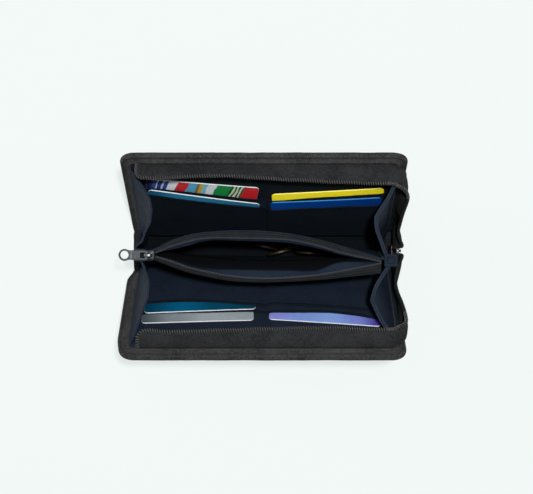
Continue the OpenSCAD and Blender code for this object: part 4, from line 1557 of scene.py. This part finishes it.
def pull_mesh(turn):
    """Pull that hangs from its round bar along -X, with an eye at its end."""

    def half_width(x):
        """Outline of the pull, narrow behind the eye and at the bar."""
        if x < EYE_X + 2.4:
            return math.sqrt(max(EYE_R**2 - (x - EYE_X) ** 2, 0))
        return through(((EYE_X + 2.4, 3.74), (EYE_X + 4.4, 3.55), (-9, 3.85), (-4, 3.95), (0.8, 3.7)), x)

    def body(u, w):
        x = -PULL_L + (PULL_L + 0.8) * (1 - math.cos(math.pi * u)) / 2
        y = boxy(2 * math.pi * w, 0.35)[0] * half_width(x)
        return turn @ Vector((x, y, boxy(2 * math.pi * w, 0.5)[1] * 0.8))

    return warped_grid((56, 48), (1, 1), body, weld=True)


def put_slider(name, node, size, turn, finish):
    """Slider in its place: the casting, and the bridge that holds the pull."""
    casting, bridge = slider_mesh(*size, turn)
    put(f"{name}_body", casting, [finish], node, [node])
    put(f"{name}_bridge", bridge, ["plated_zinc"], node, ())


def cut(piece, shape):
    """Cuts a shape from a piece for good."""
    cutter = put("hole", shape, ())
    change = piece.modifiers.new("Hole", "BOOLEAN")
    change.object = cutter
    change.operation = "DIFFERENCE"
    change.solver = "EXACT"
    bpy.context.view_layer.update()
    graph = bpy.context.evaluated_depsgraph_get()
    mesh = bpy.data.meshes.new_from_object(piece.evaluated_get(graph))
    piece.modifiers.remove(change)
    piece.data = mesh
    bpy.data.objects.remove(cutter)


def build_pull(name, node, turn):
    """Pull in its place, with the hole in its eye, its window and the groove across it."""
    piece = put(name, pull_mesh(turn), ["plated_zinc"], None, ())
    drill = new_mesh()
    bmesh.ops.create_cone(
        drill, cap_ends=True, segments=40, radius1=EYE_HOLE_R, radius2=EYE_HOLE_R, depth=6
    )
    for vert in drill.verts:
        vert.co = (turn @ Vector((vert.co.x * 1.1 + EYE_X, vert.co.y, vert.co.z))) * MM
    cut(piece, drill)
    for low, high, radius, thick, edge, level in (
        ((-5.0, -2.2), (-0.95, 2.2), 1, 6, 0.2, -3),
        ((EYE_X + 5.2, -5), (EYE_X + 5.8, 5), 0.2, 1, 0.1, 0.6),
    ):

        def place(x, y, z):
            return turn @ Vector((x, y, z + level))

        cut(piece, soft_plate(low, high, (radius, radius), thick, edge, place))
    piece.data.shade_smooth()
    piece.data.set_sharp_from_angle(angle=math.radians(40))
    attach(piece, node)
    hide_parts(node)


class WALLET_OT_sliders(bpy.types.Operator):
    """Build both sliders and their pulls"""

    bl_idname = "wallet.sliders"
    bl_label = "Sliders and pulls"

    def execute(self, context):
        pivot = Vector(JOINTS["main_pull_swing"]["pos_m"]) / MM
        centre = Vector((SHUT_X, 0, SHUT_TOP_Z - 5.3))
        # Nose up, with the bridge out along +X
        up = Matrix(((0, 0, 1, 0), (0, 1, 0, 0), (1, 0, 0, 0), (0, 0, 0, 1)))
        place = Matrix.Translation(centre) @ up
        put_slider("zip_slider", "main_slider", (10, 10.6, 3.0, 0.9), place, "black_zinc")
        build_pull("zip_slider_pull", "main_pull", Matrix.Translation(pivot) @ up)

        pivot = Vector(JOINTS["coin_pull_swing"]["pos_m"]) / MM
        low, high = (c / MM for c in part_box("coin_slider"))
        centre = Vector(((low.x + high.x) / 2, (low.y + high.y) / 2, COIN_SLIDER_Z))
        yaw = Matrix.Rotation(-POCKET_YAW, 4, "Z")
        place = Matrix.Translation(centre) @ yaw
        put_slider("coin_slider", "coin_slider", (8.5, 8.6, 4.4, 0.9), place, "dull_zinc")
        droop = Matrix.Rotation(math.radians(-10), 4, "Y")
        build_pull("coin_slider_pull", "coin_pull", Matrix.Translation(pivot) @ yaw @ droop)
        return {"FINISHED"}


# Coins: place along the wallet and across it, radius, turn about the upright, and metal
COINS = (
    (0, 3.6, 12, -12, "worn_copper"),
    (13.8, -0.6, 10.8, 14, "worn_brass"),
    (22.8, 3.4, 9.8, 10, "worn_copper"),
    (36.6, -0.9, 11.5, -4, "worn_brass"),
)


class WALLET_OT_coins(bpy.types.Operator):
    """Build the loose coins"""

    bl_idname = "wallet.coins"
    bl_label = "Coins"

    def execute(self, context):
        upright = Matrix.Rotation(math.radians(90), 4, "X")
        for k, (x, y, r, turn, finish) in enumerate(COINS):
            bm = new_mesh()
            bmesh.ops.create_cone(bm, cap_ends=True, segments=48, radius1=r, radius2=r, depth=COIN_T)
            rim = [e for e in bm.edges if abs(e.verts[0].co.z - e.verts[1].co.z) < 0.1]
            bmesh.ops.bevel(
                bm, geom=rim, affect="EDGES", offset=0.25, segments=2, profile=0.5, material=-1
            )
            stand = Matrix.Rotation(math.radians(turn), 4, "Z") @ upright
            place = Matrix.Translation((x, y + yaw_y(x), POCKET_FOOT_Z + 0.6 + r)) @ stand
            bmesh.ops.transform(bm, matrix=Matrix.Scale(MM, 4) @ place, verts=bm.verts)
            piece = put(f"coin_{k}", bm, [finish], "root", ())
            piece.data.set_sharp_from_angle(angle=math.radians(40))
            if k == 0:
                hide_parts("coins")
        return {"FINISHED"}


# Stage


# Lamps: place and size in metres, and power in watts
LAMPS = {"key": ((0.12, 0.13, 1.6), 0.1, 22), "fill": ((-1.4, 0.3, 0.7), 0.8, 5)}
# Camera: place in metres, and focal length and sensor width in millimetres
CAMERA_PLACE = (0.0026, 0.003, 0.975)
LENS, SENSOR_W = 80.85, 36
SKY_TONE, SKY_STRENGTH = (0.93, 0.96, 1, 1), 0.25
FLOOR_HALF = 3
# Floor: how much of it shines by itself when the camera sees it, and how brightly
SEEN_SHARE, PALENESS = 0.8, 0.955


class WALLET_OT_stage(bpy.types.Operator):
    """Build the floor, the lamps and the camera"""

    bl_idname = "wallet.stage"
    bl_label = "Stage"

    def execute(self, context):
        scene = context.scene
        bm = new_mesh()
        bmesh.ops.create_grid(bm, x_segments=1, y_segments=1, size=FLOOR_HALF)
        floor = put("floor", bm, ())
        floor.data.materials.append(self.floor_finish())
        for name, values in LAMPS.items():
            self.lamp(name, *values)
        world = bpy.data.worlds.new("studio")
        scene.world = world
        world.use_nodes = True
        sky = world.node_tree.nodes["Background"].inputs
        sky["Color"].default_value = SKY_TONE
        sky["Strength"].default_value = SKY_STRENGTH
        view = bpy.data.cameras.new("camera")
        view.sensor_width = SENSOR_W
        view.lens = LENS
        camera = bpy.data.objects.new("camera", view)
        camera.location = CAMERA_PLACE
        scene.collection.objects.link(camera)
        scene.camera = camera
        scene.view_settings.view_transform = "Standard"
        return {"FINISHED"}

    def lamp(self, name, place, size, power):
        """Round lamp that shines on the wallet."""
        light = bpy.data.lights.new(name, "AREA")
        light.shape = "DISK"
        light.size = size
        light.energy = power
        holder = bpy.data.objects.new(name, light)
        holder.location = place
        holder.rotation_mode = "QUATERNION"
        holder.rotation_quaternion = (-Vector(place)).to_track_quat("-Z", "Y")
        bpy.context.scene.collection.objects.link(holder)

    def floor_finish(self):
        """Matt paper floor that looks pale to the camera and keeps a weak shadow."""
        tone = (*colours().floor, 1)
        finish = bpy.data.materials.new("matt_paper")
        finish.use_nodes = True
        tree = finish.node_tree
        tree.nodes.clear()
        rays = add(tree, "ShaderNodeLightPath").outputs
        seen = combine(tree, "MAXIMUM", rays["Is Camera Ray"], rays["Is Glossy Ray"])
        share = combine(tree, "MULTIPLY", seen, SEEN_SHARE)
        paper = add(tree, "ShaderNodeBsdfDiffuse", {"Color": tone}).outputs[0]
        glow = add(tree, "ShaderNodeEmission", {"Color": tone, "Strength": PALENESS}).outputs[0]
        mix = add(tree, "ShaderNodeMixShader", {0: share, 1: paper, 2: glow})
        add(tree, "ShaderNodeOutputMaterial", {"Surface": mix.outputs[0]})
        return finish


STEPS = (
    WALLET_OT_covers,
    WALLET_OT_spine,
    WALLET_OT_slots,
    WALLET_OT_cards,
    WALLET_OT_main_zip,
    WALLET_OT_gussets,
    WALLET_OT_pocket,
    WALLET_OT_sliders,
    WALLET_OT_coins,
    WALLET_OT_stage,
)


class WALLET_PT_panel(bpy.types.Panel):
    """Sizes, colours and steps of the wallet"""

    bl_idname = "WALLET_PT_panel"
    bl_label = "Wallet"
    bl_space_type = "VIEW_3D"
    bl_region_type = "UI"
    bl_category = "Wallet"

    def draw(self, context):
        for group in (context.scene.wallet_sizes, context.scene.wallet_colours):
            box = self.layout.box()
            for name in group.__annotations__:
                box.prop(group, name)
        for step in STEPS:
            self.layout.operator(step.bl_idname)


CLASSES = (WalletColours, WalletSizes, *STEPS, WALLET_PT_panel)


def register():
    """Adds the panel, its steps and its values."""
    for cls in CLASSES:
        bpy.utils.register_class(cls)
    bpy.types.Scene.wallet_colours = bpy.props.PointerProperty(type=WalletColours)
    bpy.types.Scene.wallet_sizes = bpy.props.PointerProperty(type=WalletSizes)


def unregister():
    """Takes them away again."""
    del bpy.types.Scene.wallet_sizes
    del bpy.types.Scene.wallet_colours
    for cls in reversed(CLASSES):
        bpy.utils.unregister_class(cls)


def main():
    """Builds the wallet."""
    register()
    for step in STEPS:
        group, name = step.bl_idname.split(".")
        getattr(getattr(bpy.ops, group), name)()
    bpy.context.view_layer.update()


if __name__ == "__main__":
    main()
